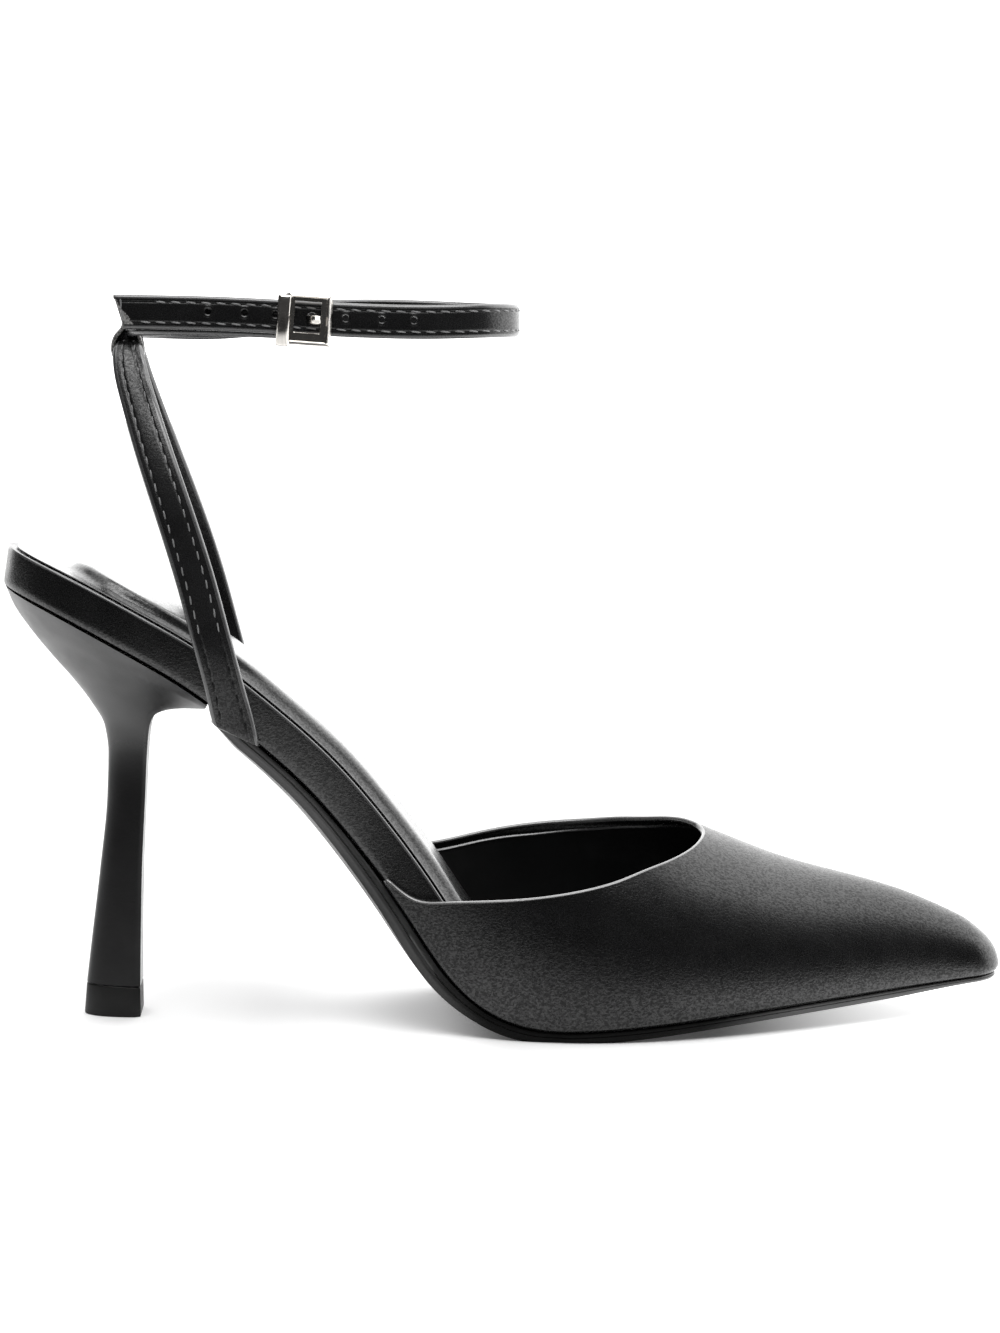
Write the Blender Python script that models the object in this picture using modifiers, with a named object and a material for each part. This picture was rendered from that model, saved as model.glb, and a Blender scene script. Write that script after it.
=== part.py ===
"""An ankle-strap slingback stiletto for the right foot, as a maker's pieces.

Sizes are in millimetres and are made metres when a mesh is written. X runs from the back of the
heel seat to the toe, -Y is the outer side of the foot, and the floor is at Z = 0.
"""
import math

import bmesh
import bpy
import numpy as np

MM = 0.001
GAP = 0.3

# Driving sizes of the shoe
LENGTH = 247.4
HEEL_CAP = 25.0
TOE_CAP = 6.0
UPPER_WALL = 1.6
UPPER_GROW = GAP + UPPER_WALL
BOARD_END = LENGTH - UPPER_GROW

# The sole along its length. feather: height of the line where upper and rand meet the outsole.
# outer, inner: half-widths of the insole board. rand: height of its edge, square to the sole.
# thick: outsole thickness. round: how far the outsole's underside is rounded.
SOLE_COLUMNS = ("x", "feather", "outer", "inner", "rand", "thick", "round")
SOLE = (
    (0.0, 105.0, 25.2, 25.2, 10.2, 3.6, 1.0),
    (14.0, 99.6, 25.6, 25.6, 9.6, 3.6, 1.0),
    (30.0, 91.4, 25.8, 25.8, 9.4, 3.6, 1.0),
    (46.0, 81.6, 24.4, 24.4, 9.4, 3.7, 1.0),
    (60.0, 70.4, 22.2, 22.2, 9.4, 3.9, 1.0),
    (74.0, 57.4, 20.3, 19.8, 9.4, 4.2, 1.0),
    (86.0, 43.2, 20.3, 19.2, 9.4, 4.5, 0.9),
    (96.0, 29.6, 22.6, 21.0, 9.4, 4.6, 0.8),
    (106.0, 15.2, 26.4, 24.8, 9.2, 4.2, 0.5),
    (115.0, 7.2, 30.0, 29.0, 8.0, 3.6, 0.2),
    (126.0, 3.2, 33.4, 33.4, 5.6, 3.1, 0.0),
    (140.0, 2.8, 35.4, 36.6, 3.8, 2.9, 0.0),
    (158.0, 4.0, 34.2, 36.2, 3.0, 2.6, 0.0),
    (180.0, 5.7, 28.4, 31.2, 2.6, 2.3, 0.0),
    (205.0, 7.5, 19.6, 22.6, 2.4, 2.2, 0.0),
    (228.0, 9.0, 11.0, 14.0, 2.2, 2.0, 0.0),
    (248.0, 10.3, 4.8, 7.4, 2.0, 1.8, 0.0),
)

# The ridge line over the instep: real in front of the throat, and the line of the last behind it
RIDGE_COLUMNS = ("x", "height", "y")
RIDGE = (
    (90.0, 112.0, 2.0),
    (120.0, 84.0, 2.4),
    (150.0, 58.8, 2.6),
    (170.0, 46.4, 2.6),
    (190.0, 38.9, 2.4),
    (210.0, 33.3, 2.2),
    (225.0, 28.9, 1.8),
    (238.0, 23.4, 1.5),
    (248.0, 18.6, 1.4),
)
TOE_ROUND = 10.0
SIDE_POWER = 1.75
CROWN_POWER = 2.4

# The topline: where each side of the upper is cut off, from the end of the wings to the throat
WING_X = 92.0
THROAT_X = 170.0
TOPLINE_COLUMNS = ("x", "outer", "inner")
TOPLINE = (
    (92.0, 36.6, 36.6),
    (98.0, 32.9, 36.2),
    (107.0, 32.4, 37.8),
    (117.0, 32.2, 39.8),
    (128.0, 33.0, 41.9),
    (139.0, 34.6, 43.4),
    (149.0, 36.6, 44.2),
    (158.0, 39.4, 44.8),
    (165.0, 42.8, 45.4),
    (170.0, 46.4, 46.4),
)

# The heel from its foot to its seat: back and front edges in the side view, and half-width.
# seat: 0 where the plan is the stem's, 1 where it is the heel seat's.
HEEL_COLUMNS = ("back_x", "back_z", "front_x", "front_z", "half", "seat")
HEEL = (
    (19.2, 6.8, 32.7, 6.8, 6.2, 0.0),
    (20.5, 18.5, 32.8, 18.5, 5.7, 0.0),
    (22.6, 36.0, 33.1, 36.0, 5.2, 0.0),
    (24.4, 54.0, 33.9, 54.0, 5.0, 0.0),
    (24.9, 65.0, 34.4, 65.0, 5.2, 0.0),
    (24.4, 71.2, 35.0, 71.2, 6.0, 0.0),
    (21.4, 77.4, 36.4, 74.6, 8.8, 0.15),
    (17.2, 83.2, 39.6, 76.2, 13.2, 0.4),
    (12.2, 89.0, 43.6, 76.9, 17.4, 0.65),
    (7.2, 95.2, 46.8, 77.2, 21.0, 0.85),
    (2.8, 101.2, 49.0, 77.6, 23.8, 1.0),
)
HEEL_FRONT = 49.6
TIP_FOOT = (18.7, 32.8, 6.5)
TIP_TOP = 6.5

# The pad on the insole
PAD_BACK = 11.0
PAD_FRONT = 238.0
PAD_INSET = 3.0
PAD_THICK = 2.1

# One leg of the sling strap, from its foot at the waist to the top at the back of the ankle
SLING_THICK = 1.9
# slant: how far its width is turned from level in the side view, in degrees
SLING_COLUMNS = ("x", "y", "z", "width", "slant")
SLING = (
    (56.8, -25.0, 71.4, 11.4, -25.0),
    (54.9, -25.7, 79.0, 9.6, 6.0),
    (52.2, -26.0, 89.5, 9.2, 16.0),
    (48.4, -23.2, 104.5, 9.2, 17.0),
    (43.6, -19.2, 120.5, 9.0, 20.0),
    (37.4, -14.0, 138.5, 8.4, 21.0),
    (33.2, -9.2, 151.5, 7.4, 16.0),
    (31.2, -5.6, 158.6, 6.4, 6.0),
    (30.6, -2.6, 161.2, 5.8, 0.0),
    (30.6, 0.0, 161.9, 5.6, 0.0),
)

# The loop round ankle strap and sling strap, seen from the side
LOOP_THICK = 1.0
LOOP_WIDTH = 6.0
LOOP_COLUMNS = ("x", "z")
LOOP = (
    (30.8, 158.0),
    (27.2, 159.0),
    (26.6, 162.0),
    (27.6, 165.2),
    (28.6, 168.0),
    (28.5, 172.8),
    (30.6, 174.6),
    (32.8, 172.8),
    (33.0, 167.0),
    (34.4, 162.8),
    (34.3, 159.2),
)

# The ankle strap: an oval seen from above, with the holed end over the buckle's end
ANKLE_THICK = 1.7
ANKLE_WIDTH = 8.0
ANKLE_COLUMNS = ("x", "y", "z")
ANKLE_START = ((71.4, -16.6, 169.2), (62.0, -17.4, 169.2))
ANKLE_BACK = (48.0, 30.3, 17.9, 169.0)
ANKLE_FAR = ((62.0, 18.0, 169.6), (82.0, 18.2, 171.0))
ANKLE_FRONT = (104.0, 123.4, 19.0)
ANKLE_END = ((88.0, -20.6, 169.3), (73.0, -20.7, 169.5), (54.0, -21.0, 170.2), (28.2, -21.5, 170.9))
TAIL_LEAN = 0.22
PIN_HOLE_X = 74.4
PIN_HOLE = 3.4

# The buckle, seen from the outer side
BUCKLE_BACK = 67.0
BUCKLE_FRONT = 78.7
BUCKLE_LOW = 163.4
BUCKLE_HIGH = 175.5
BRIDGE = 2.9
RAIL = 1.1
BAR = 1.3
FACE_Y = -21.9
FACE_DEPTH = 1.3
HINGE_Y = -18.0
HINGE_DEPTH = 1.2
PIN_WIDTH = 2.3
PIN_THICK = 1.0
PIN_COLUMNS = ("x", "y")
PIN = ((70.9, -18.9), (72.6, -18.9), (74.6, -21.6), (76.0, -23.9), (78.8, -24.2))

LEATHER = ((0.012, 0.012, 0.013), 0.42, 0.0)
LINING = ((0.016, 0.016, 0.017), 0.5, 0.0)
HEEL_COVER = ((0.014, 0.014, 0.015), 0.36, 0.0)
RUBBER = ((0.010, 0.010, 0.010), 0.6, 0.0)
NICKEL = ((0.72, 0.70, 0.67), 0.18, 1.0)


def column(table, columns, name):
    """One named column of a table."""
    return np.array([row[columns.index(name)] for row in table], float)


def spline(xs, ys):
    """A natural cubic through the rows of a table, straight beyond its ends."""
    steps = np.diff(xs)
    slopes = np.diff(ys) / steps
    rows = np.eye(len(xs))
    known = np.zeros(len(xs))
    for i in range(1, len(xs) - 1):
        rows[i, i - 1:i + 2] = steps[i - 1], 2 * (steps[i - 1] + steps[i]), steps[i]
        known[i] = 6 * (slopes[i] - slopes[i - 1])
    bend = np.linalg.solve(rows, known)
    first = slopes[0] - steps[0] * bend[1] / 6
    last = slopes[-1] + steps[-1] * bend[-2] / 6

    def at(x):
        if x <= xs[0]:
            return float(ys[0] + first * (x - xs[0]))
        if x >= xs[-1]:
            return float(ys[-1] + last * (x - xs[-1]))
        i = int(np.searchsorted(xs, x)) - 1
        low = (xs[i + 1] - x) / steps[i]
        high = 1 - low
        curved = (low ** 3 - low) * bend[i] + (high ** 3 - high) * bend[i + 1]
        return float(low * ys[i] + high * ys[i + 1] + curved * steps[i] ** 2 / 6)
    return at


def curves_of(table, columns):
    """A smooth curve over x for each further column of a table."""
    xs = column(table, columns, "x")
    return {name: spline(xs, column(table, columns, name)) for name in columns if name != "x"}


def path_of(points):
    """A smooth path through points, read at a share of its length."""
    points = np.asarray(points, float)
    steps = np.linalg.norm(np.diff(points[:, :3], axis=0), axis=1)
    lengths = np.concatenate([[0.0], np.cumsum(steps)])
    curves = [spline(lengths / lengths[-1], points[:, i]) for i in range(points.shape[1])]
    return lambda share: np.array([curve(share) for curve in curves])


def ease(value, low, high):
    """0 below low, 1 above high, smooth between."""
    share = min(max((value - low) / (high - low), 0.0), 1.0)
    return share * share * (3 - 2 * share)


def cap(x, start, end, back_radius, front_radius, power=2.3):
    """How wide an outline still is near its rounded ends, from 0 to 1."""
    if x < start + back_radius:
        short = min((start + back_radius - x) / back_radius, 1.0)
    elif x > end - front_radius:
        short = min((x - end + front_radius) / front_radius, 1.0)
    else:
        return 1.0
    return (1 - short ** power) ** (1 / power)


sole = curves_of(SOLE, SOLE_COLUMNS)
ridge = curves_of(RIDGE, RIDGE_COLUMNS)
topline = curves_of(TOPLINE, TOPLINE_COLUMNS)


def outline(x, grow):
    """The outer and inner edges of the sole's plan at x, grown beyond the insole board's."""
    low, high = -sole["outer"](x) - grow, sole["inner"](x) + grow
    kept = cap(x, -grow, BOARD_END + grow, HEEL_CAP + grow, TOE_CAP + grow)
    middle = (low + high) / 2
    half = (high - low) / 2 * kept
    return middle - half, middle + half


def stations(start, end, back_radius, front_radius, count):
    """Places along the shoe, close together where the plan is rounded at its ends."""
    back = []
    front = []
    turns = 5
    for i in range(turns):
        turn = math.pi / 2 * (i + 0.25) / turns
        back.append(start + back_radius * (1 - math.cos(turn)))
        front.append(end - front_radius * (1 - math.cos(turn)))
    middle = np.linspace(start + back_radius, end - front_radius, count)
    return back + list(middle) + front[::-1]


def on_sole(x, y, rise):
    """A point at a height above the feather line, square to the sole's slope."""
    slope = (sole["feather"](x + 0.5) - sole["feather"](x - 0.5))
    tilt = math.atan(slope) * (0.35 + 0.65 * ease(x, 0.0, 30.0))
    return (x - rise * math.sin(tilt), y, sole["feather"](x) + rise * math.cos(tilt))


def finish(name, look):
    """A plain material of the piece's colour, roughness and metallic value."""
    colour, roughness, metallic = look
    material = bpy.data.materials.new(name)
    material.use_nodes = True
    shader = material.node_tree.nodes["Principled BSDF"]
    shader.inputs["Base Color"].default_value = (*colour, 1.0)
    shader.inputs["Roughness"].default_value = roughness
    shader.inputs["Metallic"].default_value = metallic
    return material


def place(name, mesh, look):
    """A mesh as a named piece of the shoe."""
    piece = bpy.data.objects.new(name, mesh)
    mesh.materials.append(finish(name + "_finish", look))
    mesh.shade_smooth()
    mesh.set_sharp_from_angle(angle=math.radians(35))
    pieces.objects.link(piece)
    piece.parent = shoe
    return piece


def mesh_of(name, points, faces, closed):
    """A mesh in metres from points in millimetres, with its faces turned outwards."""
    mesh = bpy.data.meshes.new(name)
    mesh.from_pydata([tuple(MM * value for value in point) for point in points], [], faces)
    form = bmesh.new()
    form.from_mesh(mesh)
    if closed:
        bmesh.ops.recalc_face_normals(form, faces=form.faces)
        if form.calc_volume(signed=True) < 0:
            bmesh.ops.reverse_faces(form, faces=form.faces)
    form.to_mesh(mesh)
    form.free()
    return mesh


def loft(name, loops, look):
    """A closed solid through loops of equal count, with its first and last loop filled."""
    count = len(loops[0])
    points = [point for loop in loops for point in loop]
    faces = []
    for row in range(len(loops) - 1):
        for i in range(count):
            j = (i + 1) % count
            faces.append((row * count + i, row * count + j, (row + 1) * count + j, (row + 1) * count + i))
    faces.append(tuple(range(count)))
    faces.append(tuple((len(loops) - 1) * count + i for i in range(count)))
    return place(name, mesh_of(name, points, faces, True), look)


def ribbon(name, path, across, width, thickness, count, look):
    """A flat strap along a path: an open band with Solidify. across gives its width's direction."""
    points = []
    faces = []
    for i in range(count + 1):
        share = i / count
        here = path(share)
        side = across(share)
        for step in (-0.5, 0.0, 0.5):
            points.append(here[:3] + side * width(share) * step)
    for i in range(count):
        for j in range(2):
            faces.append((3 * i + j, 3 * i + j + 1, 3 * i + j + 4, 3 * i + j + 3))
    piece = place(name, mesh_of(name, points, faces, False), look)
    thicken(piece, thickness, 0.0)
    return piece


def thicken(piece, thickness, offset):
    """The real thickness of a piece that is modelled as a surface."""
    solid = piece.modifiers.new("Wall", "SOLIDIFY")
    solid.thickness = thickness * MM
    solid.offset = offset
    solid.use_even_offset = True
    return solid


def make_insole_rand():
    """The covered insole board, with the tall edge that shows along heel seat and waist."""
    loops = []
    for x in stations(0.0, BOARD_END, HEEL_CAP, TOE_CAP, 30):
        low, high = outline(x, 0.0)
        top = sole["rand"](x)
        edge = min(0.9, 0.4 * (high - low))
        swell = 0.3 * ease(high - low, 2.0, 30.0) * ease(top, 4.0, 8.0)
        middle = (low + high) / 2
        section = (
            (low + 0.3 * edge, 0.0), (low - swell, 0.5 * top), (low, top - edge), (low + edge, top),
            (middle, top), (high - edge, top), (high, top - edge), (high + swell, 0.5 * top),
            (high - 0.3 * edge, 0.0), (middle, 0.0),
        )
        loops.append([on_sole(x, y, rise) for y, rise in section])
    return loft("insole_rand", loops, LEATHER)


def make_insole_pad():
    """The padded sock: crowned, with rounded edges, from near the heel's back into the toe."""
    loops = []
    shares = (-1.0, -0.985, -0.93, -0.82, -0.6, -0.3, 0.0, 0.3, 0.6, 0.82, 0.93, 0.985, 1.0)
    for x in stations(PAD_BACK, PAD_FRONT, 16.0, 8.0, 30):
        low, high = outline(x, -PAD_INSET)
        kept = cap(x, PAD_BACK, PAD_FRONT, 16.0, 8.0)
        middle = (low + high) / 2
        half = (high - low) / 2 * kept
        base = sole["rand"](x) + GAP
        crown = PAD_THICK * kept ** 0.5
        section = [(middle + half, base), (middle - half, base)]
        for share in shares:
            rise = 0.25 * crown + 0.75 * crown * (1 - abs(share) ** 4) ** 0.5
            section.append((middle + half * share, base + rise))
        loops.append([on_sole(x, y, rise) for y, rise in section])
    return loft("insole_pad", loops, LINING)


def make_outsole():
    """The outsole: rounded under the waist, flat at the tread, with spring at the toe."""
    loops = []
    start = HEEL_FRONT + 3.0
    for x in list(np.linspace(start, 128.0, 21)) + stations(126.0, LENGTH - 0.6, 8.0, TOE_CAP, 20)[5:]:
        grow = 1.4 * ease(x, 80.0, 100.0) - 0.5
        low, high = outline(x, grow)
        middle = (low + high) / 2
        half = (high - low) / 2
        thick = sole["thick"](x)
        rounding = sole["round"](x)
        section = [(high, -GAP), (middle, -GAP), (low, -GAP), (low, -GAP - thick * (0.72 - 0.3 * rounding))]
        edge = min(0.7, 0.3 * half) * (1 - rounding)
        for share in (-1.0, -0.75, -0.4, 0.0, 0.4, 0.75, 1.0):
            drop = thick * (1 - 0.38 * rounding * abs(share) ** 2.2)
            inset = math.copysign(edge, share) if abs(share) == 1.0 else 0.0
            section.append((middle + half * share - inset, -GAP - drop))
        section.append((high, -GAP - thick * (0.72 - 0.3 * rounding)))
        points = [on_sole(x, y, rise) for y, rise in section]
        loops.append([(px, py, max(pz, 0.0)) for px, py, pz in points])
    return loft("outsole", loops, RUBBER)


def upper_point(x, side, turn):
    """A point of the upper's outer face: turn 0 at the feather line, a quarter turn at the ridge."""
    edges = outline(x, UPPER_GROW)
    edge = edges[0] if side < 0 else edges[1]
    crown = ridge["y"](x)
    foot = sole["feather"](x)
    height = ridge["height"](x) - foot
    if x > LENGTH - TOE_ROUND:
        height *= math.sqrt(max(1 - ((x - LENGTH + TOE_ROUND) / TOE_ROUND) ** 2, 0.0))
    kept = math.cos(turn) ** (2 / SIDE_POWER)
    rise = math.sin(turn) ** (2 / CROWN_POWER)
    return (x, crown + (edge - crown) * kept, foot + height * rise)


def topline_turn(x, side):
    """How far up the section the topline is: a quarter turn in front of the throat."""
    if x >= THROAT_X:
        return math.pi / 2
    foot = sole["feather"](x)
    top = topline["outer" if side < 0 else "inner"](x)
    share = (top - foot) / (ridge["height"](x) - foot)
    share = min(max(share, 0.002), 1.0)
    return math.asin(share ** (CROWN_POWER / 2))


def make_vamp():
    """The upper: a thin shell over the last, from the wings at the waist to the pointed toe."""
    wing_rows = 24
    toe_rows = 20
    across = 11
    rows = [THROAT_X - (THROAT_X - WING_X) * (1 - i / wing_rows) ** 1.7 for i in range(wing_rows + 1)]
    reach = LENGTH - THROAT_X
    for i in range(1, toe_rows):
        rows.append(THROAT_X + reach * math.sin(math.pi / 2 * i / toe_rows) ** 1.15)
    points = []
    index = {}
    faces = []
    for row, x in enumerate(rows):
        for side in (-1, 1):
            for i in range(across):
                if x >= THROAT_X and i == across - 1 and side > 0:
                    index[row, side, i] = index[row, -1, i]
                    continue
                turn = topline_turn(x, side) * i / (across - 1)
                index[row, side, i] = len(points)
                points.append(upper_point(x, side, turn))
    tip = len(points)
    points.append((LENGTH, ridge["y"](LENGTH), sole["feather"](LENGTH)))
    for row in range(len(rows) - 1):
        for side in (-1, 1):
            for i in range(across - 1):
                quad = [index[row, side, i], index[row + 1, side, i],
                        index[row + 1, side, i + 1], index[row, side, i + 1]]
                faces.append(tuple(quad if side < 0 else quad[::-1]))
    last = len(rows) - 1
    for side in (-1, 1):
        for i in range(across - 1):
            corner = [index[last, side, i], tip, index[last, side, i + 1]]
            faces.append(tuple(corner if side < 0 else corner[::-1]))
    piece = place("vamp", mesh_of("vamp", points, faces, False), LEATHER)
    thicken(piece, UPPER_WALL, -1.0)
    return piece


def heel_loop(back_x, back_z, front_x, front_z, half, seat):
    """One section of the heel: round at the back, flat at the front."""
    outer = []
    turns = 9
    for i in range(turns + 1):
        share = 1 - math.cos(math.pi / 2 * (i + 0.15) / (turns + 0.15))
        stem = (1 - (1 - share) ** 2.4) ** 0.5
        broad = (1 - (1 - min(share * 1.9, 1.0)) ** 2.3) ** (1 / 2.3)
        wide = half * (stem + (broad - stem) * seat)
        if i == turns:
            wide -= 0.6 * (1 - seat)
        x = back_x + (front_x - back_x) * share
        z = back_z + (front_z - back_z) * share
        outer.append((x, -wide, z))
    return outer + [(x, -y, z) for x, y, z in reversed(outer)]


def make_heel():
    """The heel: a slim stem that flares out to the heel seat, under the rand."""
    loops = [heel_loop(*row) for row in HEEL]
    seat = []
    for i, (x, y, z) in enumerate(heel_loop(0.4, 0.0, HEEL_FRONT, 0.0, 25.0, 1.0)):
        low, high = outline(x, -0.5)
        edge = low if y < 0 else high
        seat.append((x, edge, sole["feather"](x) - GAP))
    loops.append(seat)
    count = len(seat)
    points = [point for loop in loops for point in loop]
    faces = []
    for row in range(len(loops) - 1):
        for i in range(count):
            j = (i + 1) % count
            faces.append((row * count + i, row * count + j, (row + 1) * count + j, (row + 1) * count + i))
    faces.append(tuple(range(count)))
    top = (len(loops) - 1) * count
    for i in range(count // 2 - 1):
        faces.append((top + i, top + i + 1, top + count - 2 - i, top + count - 1 - i))
    return place("heel", mesh_of("heel", points, faces, True), HEEL_COVER)


def make_heel_tip():
    """The top piece, on which the heel stands."""
    back, front, half = TIP_FOOT
    loops = [heel_loop(back, 0.0, front, 0.0, half, 0.0)]
    loops.append(heel_loop(HEEL[0][0], TIP_TOP, HEEL[0][2], TIP_TOP, HEEL[0][4] + 0.15, 0.0))
    return loft("heel_tip", loops, RUBBER)


def make_sling_strap():
    """Both legs of the sling strap, joined over the back of the ankle."""
    whole = list(SLING) + [(x, -y, *rest) for x, y, *rest in reversed(SLING[:-1])]
    path = path_of(whole)

    def across(share):
        slant = math.radians(path(share)[4])
        return np.array([math.cos(slant), 0.0, math.sin(slant)])
    return ribbon("sling_strap", path, across, lambda share: path(share)[3], SLING_THICK, 60, LEATHER)


def make_sling_loop():
    """The small loop that holds the sling strap's top to the ankle strap."""
    closed = list(LOOP) + [LOOP[0]]
    path = path_of([(x, 0.0, z) for x, z in closed])
    count = 40
    points = []
    faces = []
    for i in range(count):
        here = path(i / count)
        for y in (-0.5 * LOOP_WIDTH, 0.5 * LOOP_WIDTH):
            points.append((here[0], y, here[2]))
    for i in range(count):
        j = (i + 1) % count
        faces.append((2 * i, 2 * i + 1, 2 * j + 1, 2 * j))
    piece = place("sling_loop", mesh_of("sling_loop", points, faces, True), LEATHER)
    thicken(piece, LOOP_THICK, 0.0)
    return piece


def ankle_route():
    """The ankle strap's route: buckle end, back bend, far side, front bend, holed end."""
    route = list(ANKLE_START)
    middle, end, half, height = ANKLE_BACK
    for i in range(7):
        turn = math.pi * i / 6
        route.append((middle - (middle - end) * math.sin(turn), -half * math.cos(turn), height))
    route += list(ANKLE_FAR)
    middle, end, half = ANKLE_FRONT
    for i in range(7):
        turn = math.pi * i / 6
        y = half * math.cos(turn) + (i / 6) * (half + ANKLE_END[0][1])
        z = ANKLE_FAR[-1][2] + (ANKLE_END[0][2] - ANKLE_FAR[-1][2]) * i / 6
        route.append((middle + (end - middle) * math.sin(turn), y, z))
    return route + list(ANKLE_END)


def make_ankle_strap():
    """The ankle strap, with the hole that the buckle's pin goes through."""
    path = path_of(ankle_route())

    def across(share):
        return np.array([-TAIL_LEAN * ease(share, 0.97, 1.0), 0.0, 1.0])
    strap = ribbon("ankle_strap", path, across, lambda share: ANKLE_WIDTH, ANKLE_THICK, 110, LEATHER)
    bpy.ops.mesh.primitive_cylinder_add(
        vertices=12, radius=PIN_HOLE / 2 * MM, depth=6 * MM,
        location=(PIN_HOLE_X * MM, (ANKLE_END[1][1] - 1.2) * MM, ANKLE_END[1][2] * MM),
        rotation=(math.pi / 2, 0.0, 0.0),
    )
    cutter = bpy.context.object
    cutter.name = "pin_hole"
    cutter.hide_render = True
    cutter.display_type = "WIRE"
    cutter.parent = shoe
    for holder in list(cutter.users_collection):
        holder.objects.unlink(cutter)
    cutters.objects.link(cutter)
    cut = strap.modifiers.new("Pin hole", "BOOLEAN")
    cut.operation = "DIFFERENCE"
    cut.object = cutter
    return strap


def box(form, low, high):
    """One block of a bmesh, between two corners."""
    made = bmesh.ops.create_cube(form, size=1.0)
    for vertex in made["verts"]:
        for i in range(3):
            vertex.co[i] = MM * (low[i] if vertex.co[i] < 0 else high[i])


def make_buckle_frame():
    """The buckle: a square frame with a wide bridge, and the hinge bar behind the strap."""
    back, front = BUCKLE_BACK, BUCKLE_FRONT
    low, high = BUCKLE_LOW, BUCKLE_HIGH
    face = (FACE_Y - FACE_DEPTH, FACE_Y)
    hinge = (HINGE_Y - HINGE_DEPTH, HINGE_Y)
    blocks = (
        ((back, face[0] - 0.2, low), (back + BRIDGE, face[1], high)),
        ((front - BAR, face[0], low), (front, face[1], high)),
        ((back + 0.2, face[0], high - RAIL), (front - 0.2, face[1] - 0.1, high - 0.1)),
        ((back + 0.2, face[0], low + 0.1), (front - 0.2, face[1] - 0.1, low + RAIL)),
        ((back + 0.6, face[1] - 0.4, high - RAIL + 0.1), (back + 2.2, hinge[0] + 0.4, high - 0.2)),
        ((back + 0.6, face[1] - 0.4, low + 0.2), (back + 2.2, hinge[0] + 0.4, low + RAIL - 0.1)),
        ((back + 0.4, hinge[0], low + 0.3), (back + 2.4, hinge[1], high - 0.3)),
    )
    frame = None
    for number, (corner, opposite) in enumerate(blocks):
        form = bmesh.new()
        box(form, corner, opposite)
        mesh = bpy.data.meshes.new("buckle_block")
        form.to_mesh(mesh)
        form.free()
        if frame is None:
            frame = place("buckle_frame", mesh, NICKEL)
            continue
        block = bpy.data.objects.new(f"buckle_block_{number}", mesh)
        block.hide_render = True
        block.display_type = "WIRE"
        block.parent = shoe
        cutters.objects.link(block)
        join = frame.modifiers.new("Join", "BOOLEAN")
        join.operation = "UNION"
        join.object = block
    return frame


def make_buckle_pin():
    """The pin: from the hinge bar, up through the strap's hole, onto the frame's front bar."""
    height = (BUCKLE_LOW + BUCKLE_HIGH) / 2
    path = path_of([(x, y, height) for x, y in PIN])
    return ribbon(
        "buckle_pin", path, lambda share: np.array([0.0, 0.0, 1.0]), lambda share: PIN_WIDTH,
        PIN_THICK, 14, NICKEL,
    )


def centre_on_floor():
    """Puts the middle of the shoe's length and width over the origin, with the floor at zero."""
    bpy.context.view_layer.update()
    lowest = np.full(3, np.inf)
    highest = np.full(3, -np.inf)
    graph = bpy.context.evaluated_depsgraph_get()
    for piece in pieces.objects:
        if piece.type != "MESH":
            continue
        shape = piece.evaluated_get(graph)
        for corner in shape.bound_box:
            lowest = np.minimum(lowest, corner)
            highest = np.maximum(highest, corner)
    middle = (lowest + highest) / 2
    shoe.location = (-middle[0], -middle[1], 0.0)


for thing in list(bpy.data.objects):
    bpy.data.objects.remove(thing)
pieces = bpy.data.collections.new("slingback_stiletto")
cutters = bpy.data.collections.new("cutters")
bpy.context.scene.collection.children.link(pieces)
bpy.context.scene.collection.children.link(cutters)
shoe = bpy.data.objects.new("shoe", None)
pieces.objects.link(shoe)

make_outsole()
make_insole_rand()
make_insole_pad()
make_vamp()
make_heel()
make_heel_tip()
make_sling_strap()
make_sling_loop()
make_ankle_strap()
make_buckle_frame()
make_buckle_pin()
centre_on_floor()
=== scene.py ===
"""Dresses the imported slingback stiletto: grained leather, padding, stitching, buckle, studio and camera.

Sizes are in millimetres and are made metres when a mesh is written. X runs from the back of the
heel seat to the toe, -Y is the outer side of the foot, and the floor is at Z = 0.
"""
import math

import bmesh
import bpy
import numpy as np
from mathutils import Matrix, Vector


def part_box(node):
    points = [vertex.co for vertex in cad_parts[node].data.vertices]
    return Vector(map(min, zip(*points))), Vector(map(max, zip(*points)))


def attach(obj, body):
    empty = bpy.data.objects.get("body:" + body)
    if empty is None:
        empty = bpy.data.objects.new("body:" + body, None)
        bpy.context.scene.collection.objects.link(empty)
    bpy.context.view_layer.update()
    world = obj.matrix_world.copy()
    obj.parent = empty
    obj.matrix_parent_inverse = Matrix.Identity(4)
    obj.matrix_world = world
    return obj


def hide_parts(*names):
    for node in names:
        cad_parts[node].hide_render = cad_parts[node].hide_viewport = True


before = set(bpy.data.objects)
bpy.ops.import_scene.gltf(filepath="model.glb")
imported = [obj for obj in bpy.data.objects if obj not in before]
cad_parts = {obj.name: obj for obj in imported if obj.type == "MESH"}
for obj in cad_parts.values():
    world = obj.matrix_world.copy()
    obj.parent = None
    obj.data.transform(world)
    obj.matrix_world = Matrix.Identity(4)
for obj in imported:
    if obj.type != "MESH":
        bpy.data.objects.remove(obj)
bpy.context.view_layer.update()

MM = 0.001
GAP = 0.3

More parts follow.
